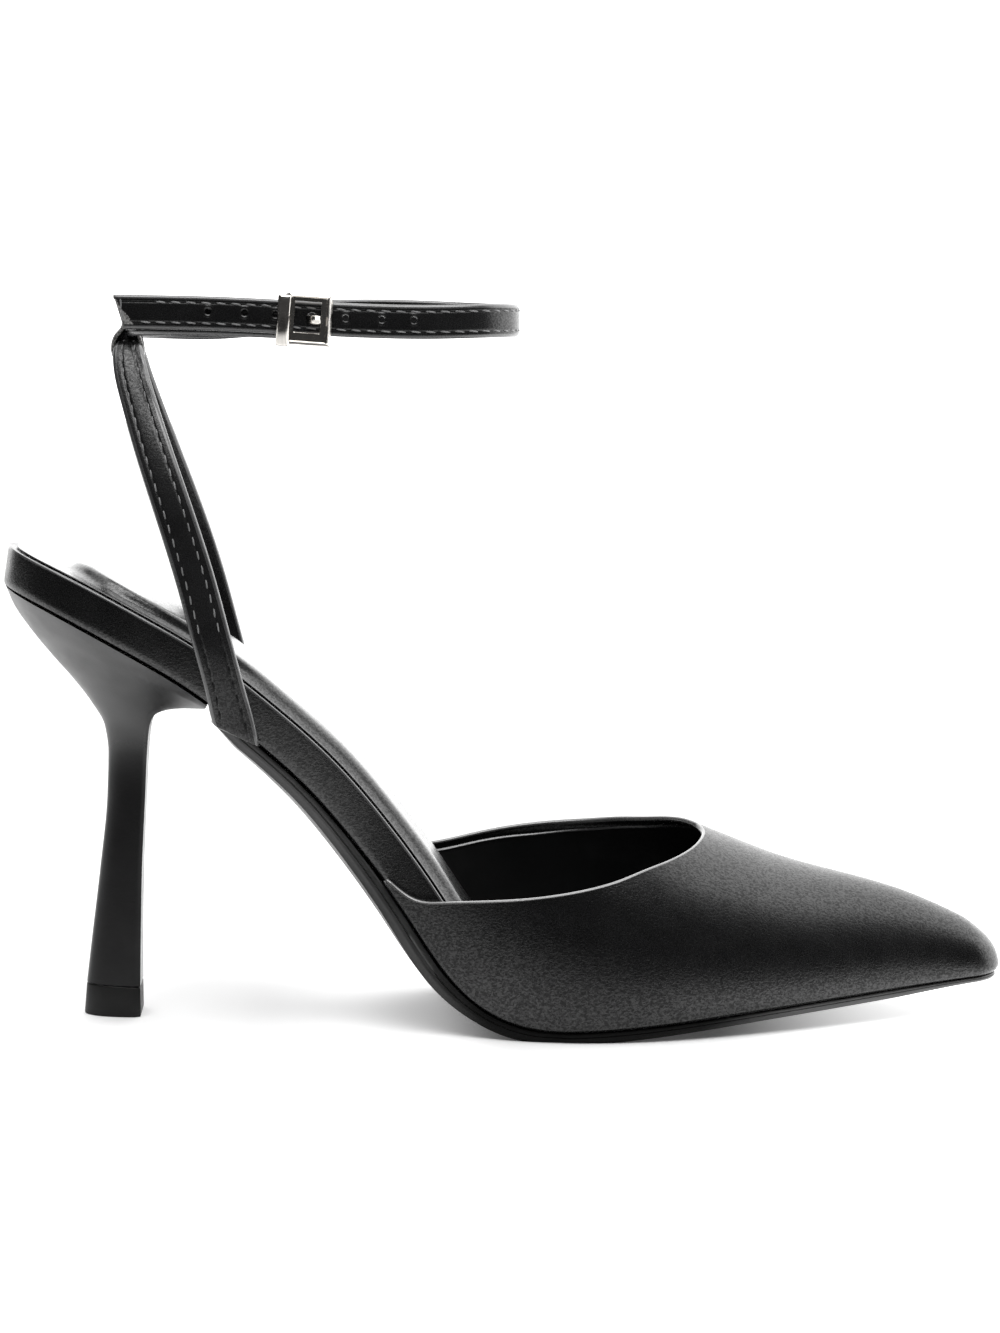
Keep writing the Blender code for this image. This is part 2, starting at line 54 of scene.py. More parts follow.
# The shoe's sizes and tables: the part's, with some rows drawn closer to the photo
LENGTH = 247.4
HEEL_CAP = 25.0
TOE_CAP = 6.0
UPPER_WALL = 1.6
UPPER_GROW = GAP + UPPER_WALL
BOARD_END = LENGTH - UPPER_GROW
SOLE_COLUMNS = ("x", "feather", "outer", "inner", "rand", "thick", "round")
SOLE = (
    (0.0, 106.4, 25.2, 25.2, 9.3, 3.6, 1.0),
    (14.0, 100.0, 25.6, 25.6, 9.4, 3.6, 1.0),
    (30.0, 91.4, 25.8, 25.8, 9.4, 3.6, 1.0),
    (46.0, 81.6, 24.4, 24.4, 9.4, 3.7, 1.0),
    (60.0, 70.4, 22.2, 22.2, 9.4, 3.9, 1.0),
    (74.0, 57.4, 20.3, 19.8, 9.4, 4.2, 1.0),
    (86.0, 43.2, 20.3, 19.2, 9.4, 4.5, 0.9),
    (96.0, 29.6, 22.6, 21.0, 9.4, 4.6, 0.8),
    (106.0, 15.2, 26.4, 24.8, 9.2, 4.2, 0.5),
    (115.0, 7.2, 30.0, 29.0, 8.0, 3.6, 0.2),
    (126.0, 3.2, 33.4, 33.4, 5.6, 3.1, 0.0),
    (140.0, 2.8, 35.4, 36.6, 3.8, 2.9, 0.0),
    (158.0, 4.0, 34.2, 36.2, 3.0, 2.6, 0.0),
    (180.0, 5.7, 28.4, 31.2, 2.6, 2.3, 0.0),
    (205.0, 7.5, 19.6, 22.6, 2.4, 2.2, 0.0),
    (228.0, 9.0, 11.0, 14.0, 2.2, 2.0, 0.0),
    (248.0, 10.3, 4.8, 7.4, 2.0, 1.8, 0.0),
)
RIDGE_COLUMNS = ("x", "height", "y")
RIDGE = (
    (90.0, 112.0, 2.0),
    (120.0, 84.0, 2.4),
    (150.0, 58.8, 2.6),
    (170.0, 47.0, 2.6),
    (180.0, 42.9, 2.5),
    (190.0, 39.1, 2.4),
    (210.0, 33.6, 2.2),
    (225.0, 29.0, 1.8),
    (232.6, 25.8, 1.6),
    (238.0, 23.2, 1.5),
    (243.0, 20.7, 1.4),
    (248.0, 19.6, 1.4),
)
TOE_ROUND = 10.0
NOSE_POWER = 2.4
SIDE_POWER = 1.75
CROWN_POWER = 2.4
WING_X = 92.0
TOPLINE = (
    (92.0, -89.5), (96.9, -88.0), (106.0, -81.5), (116.1, -75.1), (126.4, -70.1), (136.5, -65.0),
    (147.5, -57.3), (155.5, -48.9), (159.8, -43.7), (164.2, -37.0), (167.5, -30.2), (170.2, -21.5),
    (171.4, -14.5), (171.6, -9.5), (171.2, -4.5), (169.8, 5.0), (167.3, 15.3), (163.8, 25.6),
    (159.5, 34.3), (153.9, 41.8), (148.2, 48.1), (131.5, 60.5), (117.3, 69.2), (103.9, 79.3),
    (97.0, 85.5), (92.0, 89.5),
)
# Sections of the heel: back x and z, front x and z, half width, share of the seat's broad form
HEEL = (
    (19.3, 8.0, 32.7, 7.6, 6.2, 0.0),
    (20.5, 18.5, 32.8, 18.5, 5.7, 0.0),
    (22.6, 36.0, 33.1, 36.0, 5.2, 0.0),
    (24.4, 54.0, 33.9, 54.0, 5.0, 0.0),
    (24.7, 65.0, 34.4, 65.0, 5.4, 0.0),
    (23.9, 71.2, 35.0, 71.2, 6.5, 0.03),
    (20.5, 77.4, 36.4, 74.6, 8.4, 0.1),
    (16.1, 83.2, 39.6, 76.2, 10.8, 0.2),
    (11.1, 89.0, 43.6, 76.9, 13.7, 0.35),
    (6.2, 95.2, 46.8, 77.2, 16.8, 0.55),
    (2.3, 101.2, 49.0, 77.6, 20.2, 0.78),
)
HEEL_FRONT = 49.6
TIP_FOOT = (18.7, 32.8, 6.5)
# The pad's raised part: its ends, their corner radii, and where its rows lie closest, close and far apart
PAD_BACK = 11.0
PAD_FRONT = 238.0
PAD_ROUNDS = 16.0, 8.0
PAD_CLOSE = 8.0, 30.0, 62.0
PAD_INSET = 3.0
PAD_FLANGE = 1.1
PAD_SIDE = (
    (0.0, 0.3), (0.6, 0.75), (1.5, 1.55), (2.1, 2.2), (2.7, 2.7), (3.5, 3.08), (4.6, 3.33), (6.2, 3.47),
    (9.0, 3.52), (14.0, 3.54), (22.0, 3.54),
)
PAD_HEEL_SIDE = (
    (0.0, 0.3), (0.8, 0.5), (1.6, 0.9), (2.2, 1.4), (2.6, 2.15), (2.95, 2.85), (3.4, 3.25), (4.3, 3.45),
    (6.2, 3.52), (9.0, 3.54), (14.0, 3.54), (22.0, 3.54),
)
SLING_THICK = 1.9
# The sling's outer leg: x, y, z, width and slant in degrees
SLING = (
    (56.8, -24.3, 71.4, 11.4, -25.0),
    (54.9, -25.3, 79.0, 9.6, 6.0),
    (52.2, -26.7, 89.5, 9.2, 16.0),
    (50.6, -26.9, 95.5, 9.2, 16.5),
    (48.2, -26.0, 104.5, 9.2, 17.0),
    (43.2, -23.4, 120.5, 9.1, 20.0),
    (36.9, -17.4, 138.5, 8.8, 21.0),
    (32.6, -10.8, 151.5, 8.3, 16.0),
    (30.6, -6.4, 158.8, 7.9, 8.0),
    (30.1, -3.4, 162.6, 6.9, 0.0),
    (30.1, 0.0, 163.7, 5.8, 0.0),
)
SLING_TAB = (
    (27.0, 159.5, 0.3), (32.9, 159.5, 0.3), (32.9, 167.8, 0.3), (31.05, 167.8, 0.2), (31.05, 166.6, 0.2),
    (30.75, 165.8, 0.2), (29.8, 165.8, 0.2), (29.5, 166.6, 0.2), (29.5, 167.8, 0.2), (28.2, 167.2, 0.3),
    (27.0, 164.6, 0.5),
)
LOOP_THICK = 1.0
LOOP_WIDTH = 6.0
LOOP = (
    (30.0, 159.6), (27.2, 160.0), (26.4, 161.8), (26.4, 163.7), (27.2, 165.8), (28.6, 167.5), (29.0, 169.5),
    (29.0, 172.8), (30.5, 174.4), (32.2, 172.8), (32.3, 167.2), (33.2, 163.4), (32.8, 160.6),
)
ANKLE_THICK = 1.7
ANKLE_WIDTH = 8.0
ANKLE_START = ((71.4, -16.6, 168.9), (62.0, -17.4, 169.2))
ANKLE_BACK = (48.0, 30.3, 17.9, 169.5)
ANKLE_FAR = ((62.0, 18.0, 170.6), (82.0, 18.2, 171.9))
ANKLE_FRONT = (104.0, 123.4, 19.0)
ANKLE_END = ((88.0, -20.6, 169.3), (73.0, -20.7, 169.8), (54.0, -21.0, 170.5), (29.4, -21.5, 170.7))
# The buckle's back, front, bottom and top
BUCKLE = 67.0, 78.7, 163.4, 175.5
BRIDGE = 2.9
FACE_Y = -21.9
FACE_DEPTH = 1.3
HINGE_Y = -18.0
HINGE_DEPTH = 1.2

# Sizes of the finish alone
SOLE_STATIONS = 170
RAND_RADII = 2.2, 0.6
WING_ROWS = 150
TOE_ROWS = 90
UPPER_COLUMNS = 58
FOLD_STEPS = 12
FOLD_OVER = 0.65
FACING_STEP = 0.35
FACING_LIP = 0.32
RIM_ROWS = (0.0, 0.2, 0.4, 0.65, 0.95)
FACING_ROWS = (-0.6, -0.4, -0.28, -0.16, -0.05, 0.05, 0.16, 0.28, 0.42, 0.65, 1.1, 1.8, 2.8)
FEATHER_TUCK = 0.7
TUCK_HEIGHT = 1.7
STRAP_EDGE = 0.95
SLING_PUFF = 0.22
LOOP_PUFF = 0.1
ANKLE_PUFF = 0.12
STRAP_COLUMNS = 41
LOOP_COLUMNS = 21
BACK_COLUMNS = 9
RIM_ANGLES = (80, 66, 52, 38, 24, 10, 3, -3, -10, -24, -38, -52, -66, -80)
STITCH_PITCH = 3.5
STITCH_LENGTH = 2.45
STITCH_RADIUS = 0.21
# Stitches from this height up take the pale thread, a painted glint; those below take the dark thread.
THREAD_GLINT_FROM_Z = 96.0
ANKLE_ROW = 1.65
SLING_ROW = 2.3
LOOP_ROW = 1.1
HOLE_RADIUS = 0.8
HOLE_RISE = 0.45
PUNCH_DEPTH = 4.4
HOLE_XS = (49.9, 58.2, 65.6, 82.0, 90.4, 97.9)
PIN_HOLE_X = 74.0
PIN_HOLE_RADIUS = 1.35
PIN_ROUTE = ((70.9, -18.9), (72.0, -19.2), (73.3, -21.2), (74.1, -23.0), (74.7, -23.6), (76.0, -23.75))
BUCKLE_TURN = 3.5
EVEN = 1.0, 1.0, 1.0
LONG_GRAIN = 0.7, 1.0, 1.0


def spline(xs, ys):
    """A natural cubic through the rows of a table, straight beyond its ends, for arrays of x."""
    xs = np.asarray(xs, float)
    ys = np.asarray(ys, float)
    steps = np.diff(xs)
    slopes = np.diff(ys) / steps
    rows = np.eye(len(xs))
    known = np.zeros(len(xs))
    for i in range(1, len(xs) - 1):
        rows[i, i - 1:i + 2] = steps[i - 1], 2 * (steps[i - 1] + steps[i]), steps[i]
        known[i] = 6 * (slopes[i] - slopes[i - 1])
    bend = np.linalg.solve(rows, known)
    first = slopes[0] - steps[0] * bend[1] / 6
    last = slopes[-1] + steps[-1] * bend[-2] / 6

    def at(x):
        beyond = first * np.minimum(x - xs[0], 0.0) + last * np.maximum(x - xs[-1], 0.0)
        x = np.clip(x, xs[0], xs[-1])
        i = np.clip(np.searchsorted(xs, x) - 1, 0, len(xs) - 2)
        low = (xs[i + 1] - x) / steps[i]
        high = 1 - low
        curved = (low ** 3 - low) * bend[i] + (high ** 3 - high) * bend[i + 1]
        return low * ys[i] + high * ys[i + 1] + curved * steps[i] ** 2 / 6 + beyond
    return at


def curves_of(table, columns):
    """A smooth curve over x for each further column of a table."""
    xs, *others = np.transpose(table)
    return {name: spline(xs, values) for name, values in zip(columns[1:], others)}


def running_length(points):
    """How far along a row of points each one lies."""
    return np.concatenate([[0.0], np.cumsum(np.linalg.norm(np.diff(points, axis=0), axis=-1))])


def path_of(points):
    """A smooth path through points, read at shares of its length."""
    points = np.asarray(points, float)
    lengths = running_length(points[:, :3])
    curves = [spline(lengths / lengths[-1], values) for values in points.T]
    return lambda share: np.stack([curve(share) for curve in curves], -1)


def ease(value, low, high):
    """0 below low, 1 above high, smooth between."""
    share = np.clip((np.asarray(value, float) - low) / (high - low), 0.0, 1.0)
    return share * share * (3 - 2 * share)


def bump_at(value, centre, spread):
    """A soft bump of height 1."""
    return np.exp(-((np.asarray(value, float) - centre) / spread) ** 2)


def cap(x, start, end, back_radius, front_radius, power=2.3):
    """How wide an outline still is near its rounded ends, from 0 to 1."""
    back = np.clip((start + back_radius - x) / back_radius, 0.0, 1.0)
    front = np.clip((x - end + front_radius) / front_radius, 0.0, 1.0)
    return (1 - np.maximum(back, front) ** power) ** (1 / power)


def unit(vectors):
    """Vectors made one long."""
    return vectors / np.maximum(np.linalg.norm(vectors, axis=-1, keepdims=True), 1e-12)


sole = curves_of(SOLE, SOLE_COLUMNS)
ridge = curves_of(RIDGE, RIDGE_COLUMNS)

tip_low, tip_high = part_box("heel_tip")
OFFSET = np.array([TIP_FOOT[1] - tip_high.x / MM, -(tip_low.y + tip_high.y) / 2 / MM, 0.0])


def outline(x, grow):
    """The outer and inner edges of the sole's plan at x, grown beyond the insole board's."""
    low, high = -sole["outer"](x) - grow, sole["inner"](x) + grow
    kept = cap(x, -grow, BOARD_END + grow, HEEL_CAP + grow, TOE_CAP + grow)
    middle = (low + high) / 2
    half = (high - low) / 2 * kept
    return middle - half, middle + half


def stations(start, end, back_radius, front_radius, count):
    """Places along the shoe, close together where the plan is rounded at its ends."""
    turns = 22
    turn = np.pi / 2 * (np.arange(turns) + 0.03) / turns
    back = start + back_radius * (1 - np.cos(turn))
    front = end - front_radius * (1 - np.cos(turn))
    return np.concatenate([back, np.linspace(start + back_radius, end - front_radius, count), front[::-1]])


def on_sole(x, y, rise):
    """Points at a height above the feather line, square to the sole's slope."""
    slope = sole["feather"](x + 0.5) - sole["feather"](x - 0.5)
    tilt = np.arctan(slope) * (0.35 + 0.65 * ease(x, 0.0, 30.0))
    x, y, rise, tilt, foot = np.broadcast_arrays(x, y, rise, tilt, sole["feather"](x))
    return np.stack([x - rise * np.sin(tilt), y, foot + rise * np.cos(tilt)], -1)


def sole_loops(x, columns):
    """Loops along the sole, from columns of (across, up)."""
    return on_sole(x, *[np.concatenate(part, 1) for part in zip(*columns)])


def rounded(corners, steps, fill):
    """A closed section with rounded corners. Each corner is (across, up, radius), each an array."""
    corners = [np.stack(np.broadcast_arrays(*corner), -1) for corner in corners]
    arcs = []
    for before, corner, after in zip(corners[-1:] + corners, corners, corners[1:] + corners[:1]):
        here, radius = corner[..., :2], corner[..., 2:]
        ends = []
        for other in (before, after):
            way = other[..., :2] - here
            length = np.maximum(np.linalg.norm(way, axis=-1, keepdims=True), 1e-9)
            ends.append(here + way / length * np.minimum(radius, 0.48 * length))
        shares = np.linspace(0, 1, steps + 1)
        arcs.append([(1 - t) ** 2 * ends[0] + 2 * t * (1 - t) * here + t * t * ends[1] for t in shares])
    points = []
    for arc, following in zip(arcs, arcs[1:] + arcs[:1]):
        shares = np.arange(1, fill + 1) / (fill + 1)
        points += arc + [(1 - t) * arc[-1] + t * following[0] for t in shares]
    return np.stack(points, -2)


def plate(left, right, low, high, radius, steps, fill):
    """A rectangle with rounded corners, as a closed section."""
    corners = ((left, low), (right, low), (right, high), (left, high))
    return rounded([(*corner, radius) for corner in corners], steps, fill)


def grid(rows, cols, ring=False):
    """Quads over closed rows of points; with ring, the last row joins the first."""
    faces = []
    for row in range(rows if ring else rows - 1):
        here, after = row * cols, (row + 1) % rows * cols
        for i in range(cols):
            j = (i + 1) % cols
            faces.append((here + i, here + j, after + j, after + i))
    return faces


def loft(loops, ring=False):
    """A closed solid through loops of equal count: its ends are filled or, with ring, joined."""
    rows, cols = loops.shape[:2]
    starts = () if ring else (0, (rows - 1) * cols)
    ends = [tuple(range(start, start + cols)) for start in starts]
    return loops.reshape(-1, 3), grid(rows, cols, ring) + ends


def joined(shells):
    """Several shells, each of points and faces, as one."""
    points, faces, start = [], [], 0
    for spots, shell in shells:
        points.append(spots)
        faces += [tuple(start + i for i in face) for face in shell]
        start += len(spots)
    return np.concatenate(points), faces


def new_object(name, data):
    """An object in the scene."""
    made = bpy.data.objects.new(name, data)
    bpy.context.scene.collection.objects.link(made)
    return made


def add_piece(name, points, faces, looks, slot, node=None, marks=None, crisp=None):
    """A closed mesh as a piece of the shoe, in the place of a CAD node where one is named."""
    mesh = bpy.data.meshes.new(name)
    mesh.from_pydata(((np.asarray(points, float) - OFFSET) * MM).tolist(), [], faces)
    form = bmesh.new()
    form.from_mesh(mesh)
    bmesh.ops.recalc_face_normals(form, faces=form.faces)
    if form.calc_volume(signed=True) < 0:
        bmesh.ops.reverse_faces(form, faces=form.faces)
    form.to_mesh(mesh)
    form.free()
    for look in looks:
        mesh.materials.append(look)
    if marks is not None:
        mesh.polygons.foreach_set("material_index", marks)
    mesh.shade_smooth()
    if crisp:
        mesh.set_sharp_from_angle(angle=math.radians(crisp))
    piece = new_object(name, mesh)
    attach(piece, "root")
    if node:
        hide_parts(node)
    return piece


class Shader:
    """The node tree of a material or a world, put together a line at a time."""

    def __init__(self, owner):
        owner.use_nodes = True
        self.owner = owner
        self.tree = owner.node_tree

    def put(self, socket, value):
        """Links an input to another socket, or sets it to a plain value."""
        if isinstance(value, bpy.types.NodeSocket):
            self.tree.links.new(value, socket)
        else:
            socket.default_value = value

    def node(self, kind, settings, *inputs, **named):
        """A node with its settings, its first inputs in order, and others by name."""
        made = self.tree.nodes.new("ShaderNode" + kind)
        for key, value in settings.items():
            setattr(made, key, value)
        for socket, value in zip(made.inputs, inputs):
            self.put(socket, value)
        for key, value in named.items():
            self.put(made.inputs[key], value)
        return made

    def math(self, operation, a, b):
        return self.node("Math", {"operation": operation}, a, b).outputs[0]

    def vector(self, operation, *inputs, **named):
        return self.node("VectorMath", {"operation": operation}, *inputs, **named).outputs

    def span(self, value, low, high, to_low=0.0, to_high=1.0):
        """A smooth step from to_low to to_high, while a value goes from low to high."""
        step = {"interpolation_type": "SMOOTHSTEP"}
        return self.node("MapRange", step, value, low, high, to_low, to_high).outputs["Result"]

    def spans(self, operation, value, *steps):
        """Two smooth steps over one value, added or multiplied."""
        return self.math(operation, *[self.span(value, *step) for step in steps])

    def ramp(self, direction, start, end, low, high):
        """A smooth step from low to high between two places, in millimetres, along a direction."""
        along = self.vector("DOT_PRODUCT", self.place(), direction)["Value"]
        return self.span(along, start * MM, end * MM, low, high)

    def tints(self, share, colour, low, high):
        """A colour that varies between two multiples of itself."""
        a, b = ((*[k * c for c in colour], 1.0) for k in (low, high))
        return self.node("Mix", {"data_type": "RGBA"}, Factor=share, A=a, B=b).outputs["Result"]

    def place(self, stretch=EVEN):
        where = self.node("TexCoord", {}).outputs["Object"]
        return where if stretch == EVEN else self.node("Mapping", {}, Vector=where, Scale=stretch).outputs[0]

    def noise(self, size, detail=2.0, where=None, distortion=0.0):
        made = self.node("TexNoise", {}, Vector=where or self.place(), Scale=1 / (size * MM), Detail=detail,
                         Distortion=distortion)
        return made.outputs["Fac"]

    def patches(self, size, detail, low=0.0, high=1.0):
        """Soft spots of noise, between two levels."""
        return self.span(self.noise(size, detail), 0.3, 0.7, low, high)

    def bump(self, height, depth, strength=1.0, **under):
        made = self.node("Bump", {}, Height=height, Strength=strength, Distance=depth * MM, **under)
        return made.outputs["Normal"]

    def finish(self, **values):
        """Sets the surface's inputs and gives its owner back."""
        for key, value in values.items():
            self.put(self.tree.nodes["Principled BSDF"].inputs[key.replace("_", " ")], value)
        return self.owner


def leather(name, colour, roughness, pebble, depth, shine, stretch, gloss, coat=0.0):
    """Black grained leather: short wavy grain with fine valleys, and a gloss that varies with it."""
    look = Shader(bpy.data.materials.new(name))
    where = look.place(stretch)
    grain = look.span(look.noise(pebble, 2.0, where, 0.6), 0.28, 0.72)
    height = look.math("ADD", grain, look.math("MULTIPLY", look.noise(0.22, 1.0, where), 0.3))
    return look.finish(
        Base_Color=look.tints(look.patches(9.0, 3.0), colour, 0.78, 1.25),
        Roughness=look.math("ADD", look.patches(6.0, 2.0, roughness - 0.015, roughness + 0.02),
                            look.span(grain, 0.0, 1.0, 0.05, 0.0)),
        Normal=look.bump(height, depth),
        Specular_IOR_Level=look.span(grain, 0.0, 1.0, gloss - shine, gloss + shine),
        Coat_Weight=coat,
        Coat_Roughness=0.18,
    )


def smooth_cover(name, colour, roughness, wave, depth, fine, shine=0.5, polish=None, fleck=12.0, spread=0.18):
    """A smooth covering, with faint long unevenness.

    polish is (direction, start, end, gloss beyond, added roughness beyond), and its gloss beyond is a
    ramp of its own: (direction, start, end, low, high).
    """
    look = Shader(bpy.data.materials.new(name))
    normal = look.bump(look.noise(wave), depth, 0.6)
    rough = look.patches(7.0, 3.0, roughness - 0.04, roughness + 0.05)
    if polish:
        *reach, beyond, extra = polish
        shine = look.ramp(*reach, shine, look.ramp(*beyond))
        rough = look.math("ADD", rough, look.ramp(*reach, 0.0, extra))
    return look.finish(
        Base_Color=look.tints(look.patches(fleck, 2.0), colour, 1 - spread, 1 + spread),
        Roughness=rough,
        Specular_IOR_Level=shine,
        Normal=look.bump(look.noise(fine), 0.02, 0.8, Normal=normal),
    )


def metal(name, colour, roughness):
    """Polished plate with hair scratches and slight dulling."""
    look = Shader(bpy.data.materials.new(name))
    scratch = look.noise(0.25, 3.0, look.place((0.12, 1.0, 1.0)))
    dull = look.noise(2.5, 3.0)
    return look.finish(
        Base_Color=look.tints(look.span(dull, 0.35, 0.7), colour, 0.9, 1.0),
        Metallic=1.0,
        Roughness=look.math("ADD", look.span(dull, 0.3, 0.7, roughness - 0.03, roughness + 0.05),
                            look.span(scratch, 0.55, 0.75, 0.0, 0.06)),
        Normal=look.bump(scratch, 0.012, 0.5),
    )


# Leathers: colour, roughness, grain size and depth, shine of the grain, stretch, gloss and coat
UPPER = leather("upper_leather", (0.0030, 0.0030, 0.0032), 0.24, 0.50, 0.018, 0.20, LONG_GRAIN, 0.47)
RAND = leather("rand_leather", (0.0030, 0.0030, 0.0032), 0.24, 0.50, 0.016, 0.22, LONG_GRAIN, 0.70)
STRAP = leather("strap_leather", (0.0085, 0.0085, 0.0088), 0.23, 0.50, 0.012, 0.18, EVEN, 0.45)
SOCK = leather("sock_leather", (0.0035, 0.0035, 0.0037), 0.26, 0.50, 0.015, 0.25, LONG_GRAIN, 0.55, 0.4)
# The edge leather's pale colour is a painted highlight along rims and edges.
PAINTED_EDGE_HIGHLIGHT = leather("edge_painted_highlight", (0.0450, 0.0450, 0.0460), 0.26, 0.60, 0.006, 0.10, EVEN, 0.9, 0.4)
# The rim leather's paler colour is a painted highlight along the topline's fold.
PAINTED_RIM_HIGHLIGHT = leather("rim_painted_highlight", (0.0700, 0.0695, 0.0690), 0.26, 0.55, 0.010, 0.10, EVEN, 0.9, 1.0)

# Smooth covers: colour, roughness, size and depth of the waves, size of the fine relief, gloss
LINING = smooth_cover("lining", (0.0060, 0.0060, 0.0062), 0.55, 6.0, 0.15, 0.3, 0.3)
HEEL_POLISH = (0, 0, 1), 58.0, 78.0, ((0.7, 0, 0.72), -14.5, -3.0, 1.0, 0.36), 0.16
HEEL_COVER = smooth_cover("heel_cover", (0.0045, 0.0045, 0.0048), 0.20, 22.0, 0.05, 0.35, 0.20, HEEL_POLISH)
SOLE_POLISH = (1, 0, 0), -30.0, -6.0, ((1, 0, 0), 42.0, 70.0, 0.06, 0.8), 0.0
OUTSOLE = smooth_cover("outsole_rubber", (0.0060, 0.0059, 0.0058), 0.42, 5.0, 0.10, 0.4, 0.85, SOLE_POLISH)
TIP = smooth_cover("tip_rubber", (0.0060, 0.0060, 0.0060), 0.46, 3.0, 0.05, 0.3, 0.25)
# The pale thread colour is a painted glint; the dark thread is the thread's own black.
GLINT_THREAD = smooth_cover("thread", (0.190, 0.190, 0.192), 0.30, 0.4, 0.05, 0.12)
DARK_THREAD = smooth_cover("dark_thread", (0.0040, 0.0040, 0.0042), 0.50, 0.4, 0.05, 0.12, 0.2)
RAW = smooth_cover("cut_edge", (0.210, 0.207, 0.202), 0.60, 0.8, 0.12, 0.15, 0.3, None, 0.6, 0.75)
NICKEL = metal("buckle_nickel", (0.78, 0.75, 0.71), 0.13)


def make_insole_rand():
    """The covered insole board: a slightly swollen edge, rolled over at the top and tucked below."""
    foot_radius, top_radius = RAND_RADII
    steps, fill = 7, 7
    x = stations(0.0, BOARD_END, HEEL_CAP, TOE_CAP, SOLE_STATIONS)
    low, high = outline(x, 0.0)
    top = sole["rand"](x)
    lean = 0.15 - 0.55 * ease(x, 55.0, 90.0)
    section = rounded(((low, 0.0, foot_radius), (low + lean, top, top_radius),
                       (high - lean, top, top_radius), (high, 0.0, foot_radius)), steps, fill)
    y, rise = section[..., 0], section[..., 1]
    x, low, high, top = (values[:, None] for values in (x, low, high, top))
    swell = 0.10 * ease(high - low, 2.0, 30.0) * ease(top, 4.0, 8.0)
    swell = swell * np.sin(np.pi * np.clip(rise / top, 0, 1)) * (rise < top - 0.01)
    y = y + np.sign(y - (low + high) / 2) * swell
    around = steps + 1 + fill
    # The top corners take the pale edge leather, a painted highlight along the rand's top edge.
    rolled = [int(i // around in (1, 2) and i % around < steps) for i in range(y.shape[1])]
    marks = rolled * (len(x) - 1) + [0, 0]
    add_piece("rand_cover", *loft(on_sole(x, y, rise)), [RAND, PAINTED_EDGE_HIGHLIGHT], "rand_leather", "insole_rand", marks)


def pad_form(x):
    """The middle and half width of the pad's raised part."""
    low, high = outline(x, -PAD_INSET)
    return (low + high) / 2, (high - low) / 2 * cap(x, PAD_BACK, PAD_FRONT, *PAD_ROUNDS)


def make_insole_pad():
    """The padded sock: a thin flange all round, then a soft side that rolls over to a crowned top."""
    brim_inset = PAD_INSET - PAD_FLANGE
    back_round, front_round = PAD_ROUNDS
    x = stations(brim_inset, PAD_FRONT, HEEL_CAP - brim_inset, front_round, SOLE_STATIONS)
    closest, close, far = PAD_CLOSE
    rows = np.arange(closest, close, 0.25), np.arange(close, far, 0.5)
    x = np.concatenate([x[x < closest - 0.1], *rows, x[x > far + 0.2]])[:, None]
    middle, half = pad_form(x)
    brim_low, brim_high = outline(x, -brim_inset)
    edge = (brim_high - brim_low) / 2 * cap(x, -50.0, PAD_FRONT, 1.0, front_round)
    base = sole["rand"](x) + GAP
    flange = PAD_SIDE[0][1]
    shares = np.sin(np.linspace(-1, 1, 151) * np.pi / 2)
    pads = middle + (edge - np.minimum(0.3, 0.3 * edge)) * shares
    corner = PAD_BACK + back_round * (1 - np.cos(np.linspace(0, np.pi / 2, 400)))
    border_x = np.concatenate([corner, np.linspace(PAD_BACK + back_round, PAD_FRONT, 1500)])
    border_middle, border_half = pad_form(border_x)
    border = np.concatenate([np.stack([border_x, border_middle + s * border_half], -1) for s in (-1, 1)])
    spots = np.stack([np.broadcast_to(x, pads.shape).ravel(), pads.ravel()], -1)
    inside = nearest(spots, border).reshape(pads.shape) * (np.abs(pads - middle) < half)
    soft = 0.06 * np.sin(x / 6.5) * np.cos(shares * 4.0 + x / 17.0) + 0.04 * np.sin(x / 3.1 + shares * 5.0)
    waist_side, heel_side = [spline(*np.transpose(table))(inside) for table in (PAD_SIDE, PAD_HEEL_SIDE)]
    along = ease(x, 42.0, 60.0)
    side = heel_side * (1 - along) + waist_side * along
    lift = 0.5 + 0.5 * ease(x, PAD_BACK, PAD_BACK + 7.0)
    tops = base + flange + (side - flange) * lift + soft * ease(inside, 1.5, 5.0)
    brims = ((edge - np.minimum(0.1, 0.1 * edge), 0.0), (edge, 0.02), (edge, 0.12),
             (edge - np.minimum(0.12, 0.12 * edge), 0.22))
    columns = [(middle - out, base + up) for out, up in brims] + [(pads, tops)]
    columns += [(middle + out, base + up) for out, up in brims[::-1]]
    pad = add_piece("sock_pad", *loft(sole_loops(x, columns)), [SOCK], "sock_leather", "insole_pad")


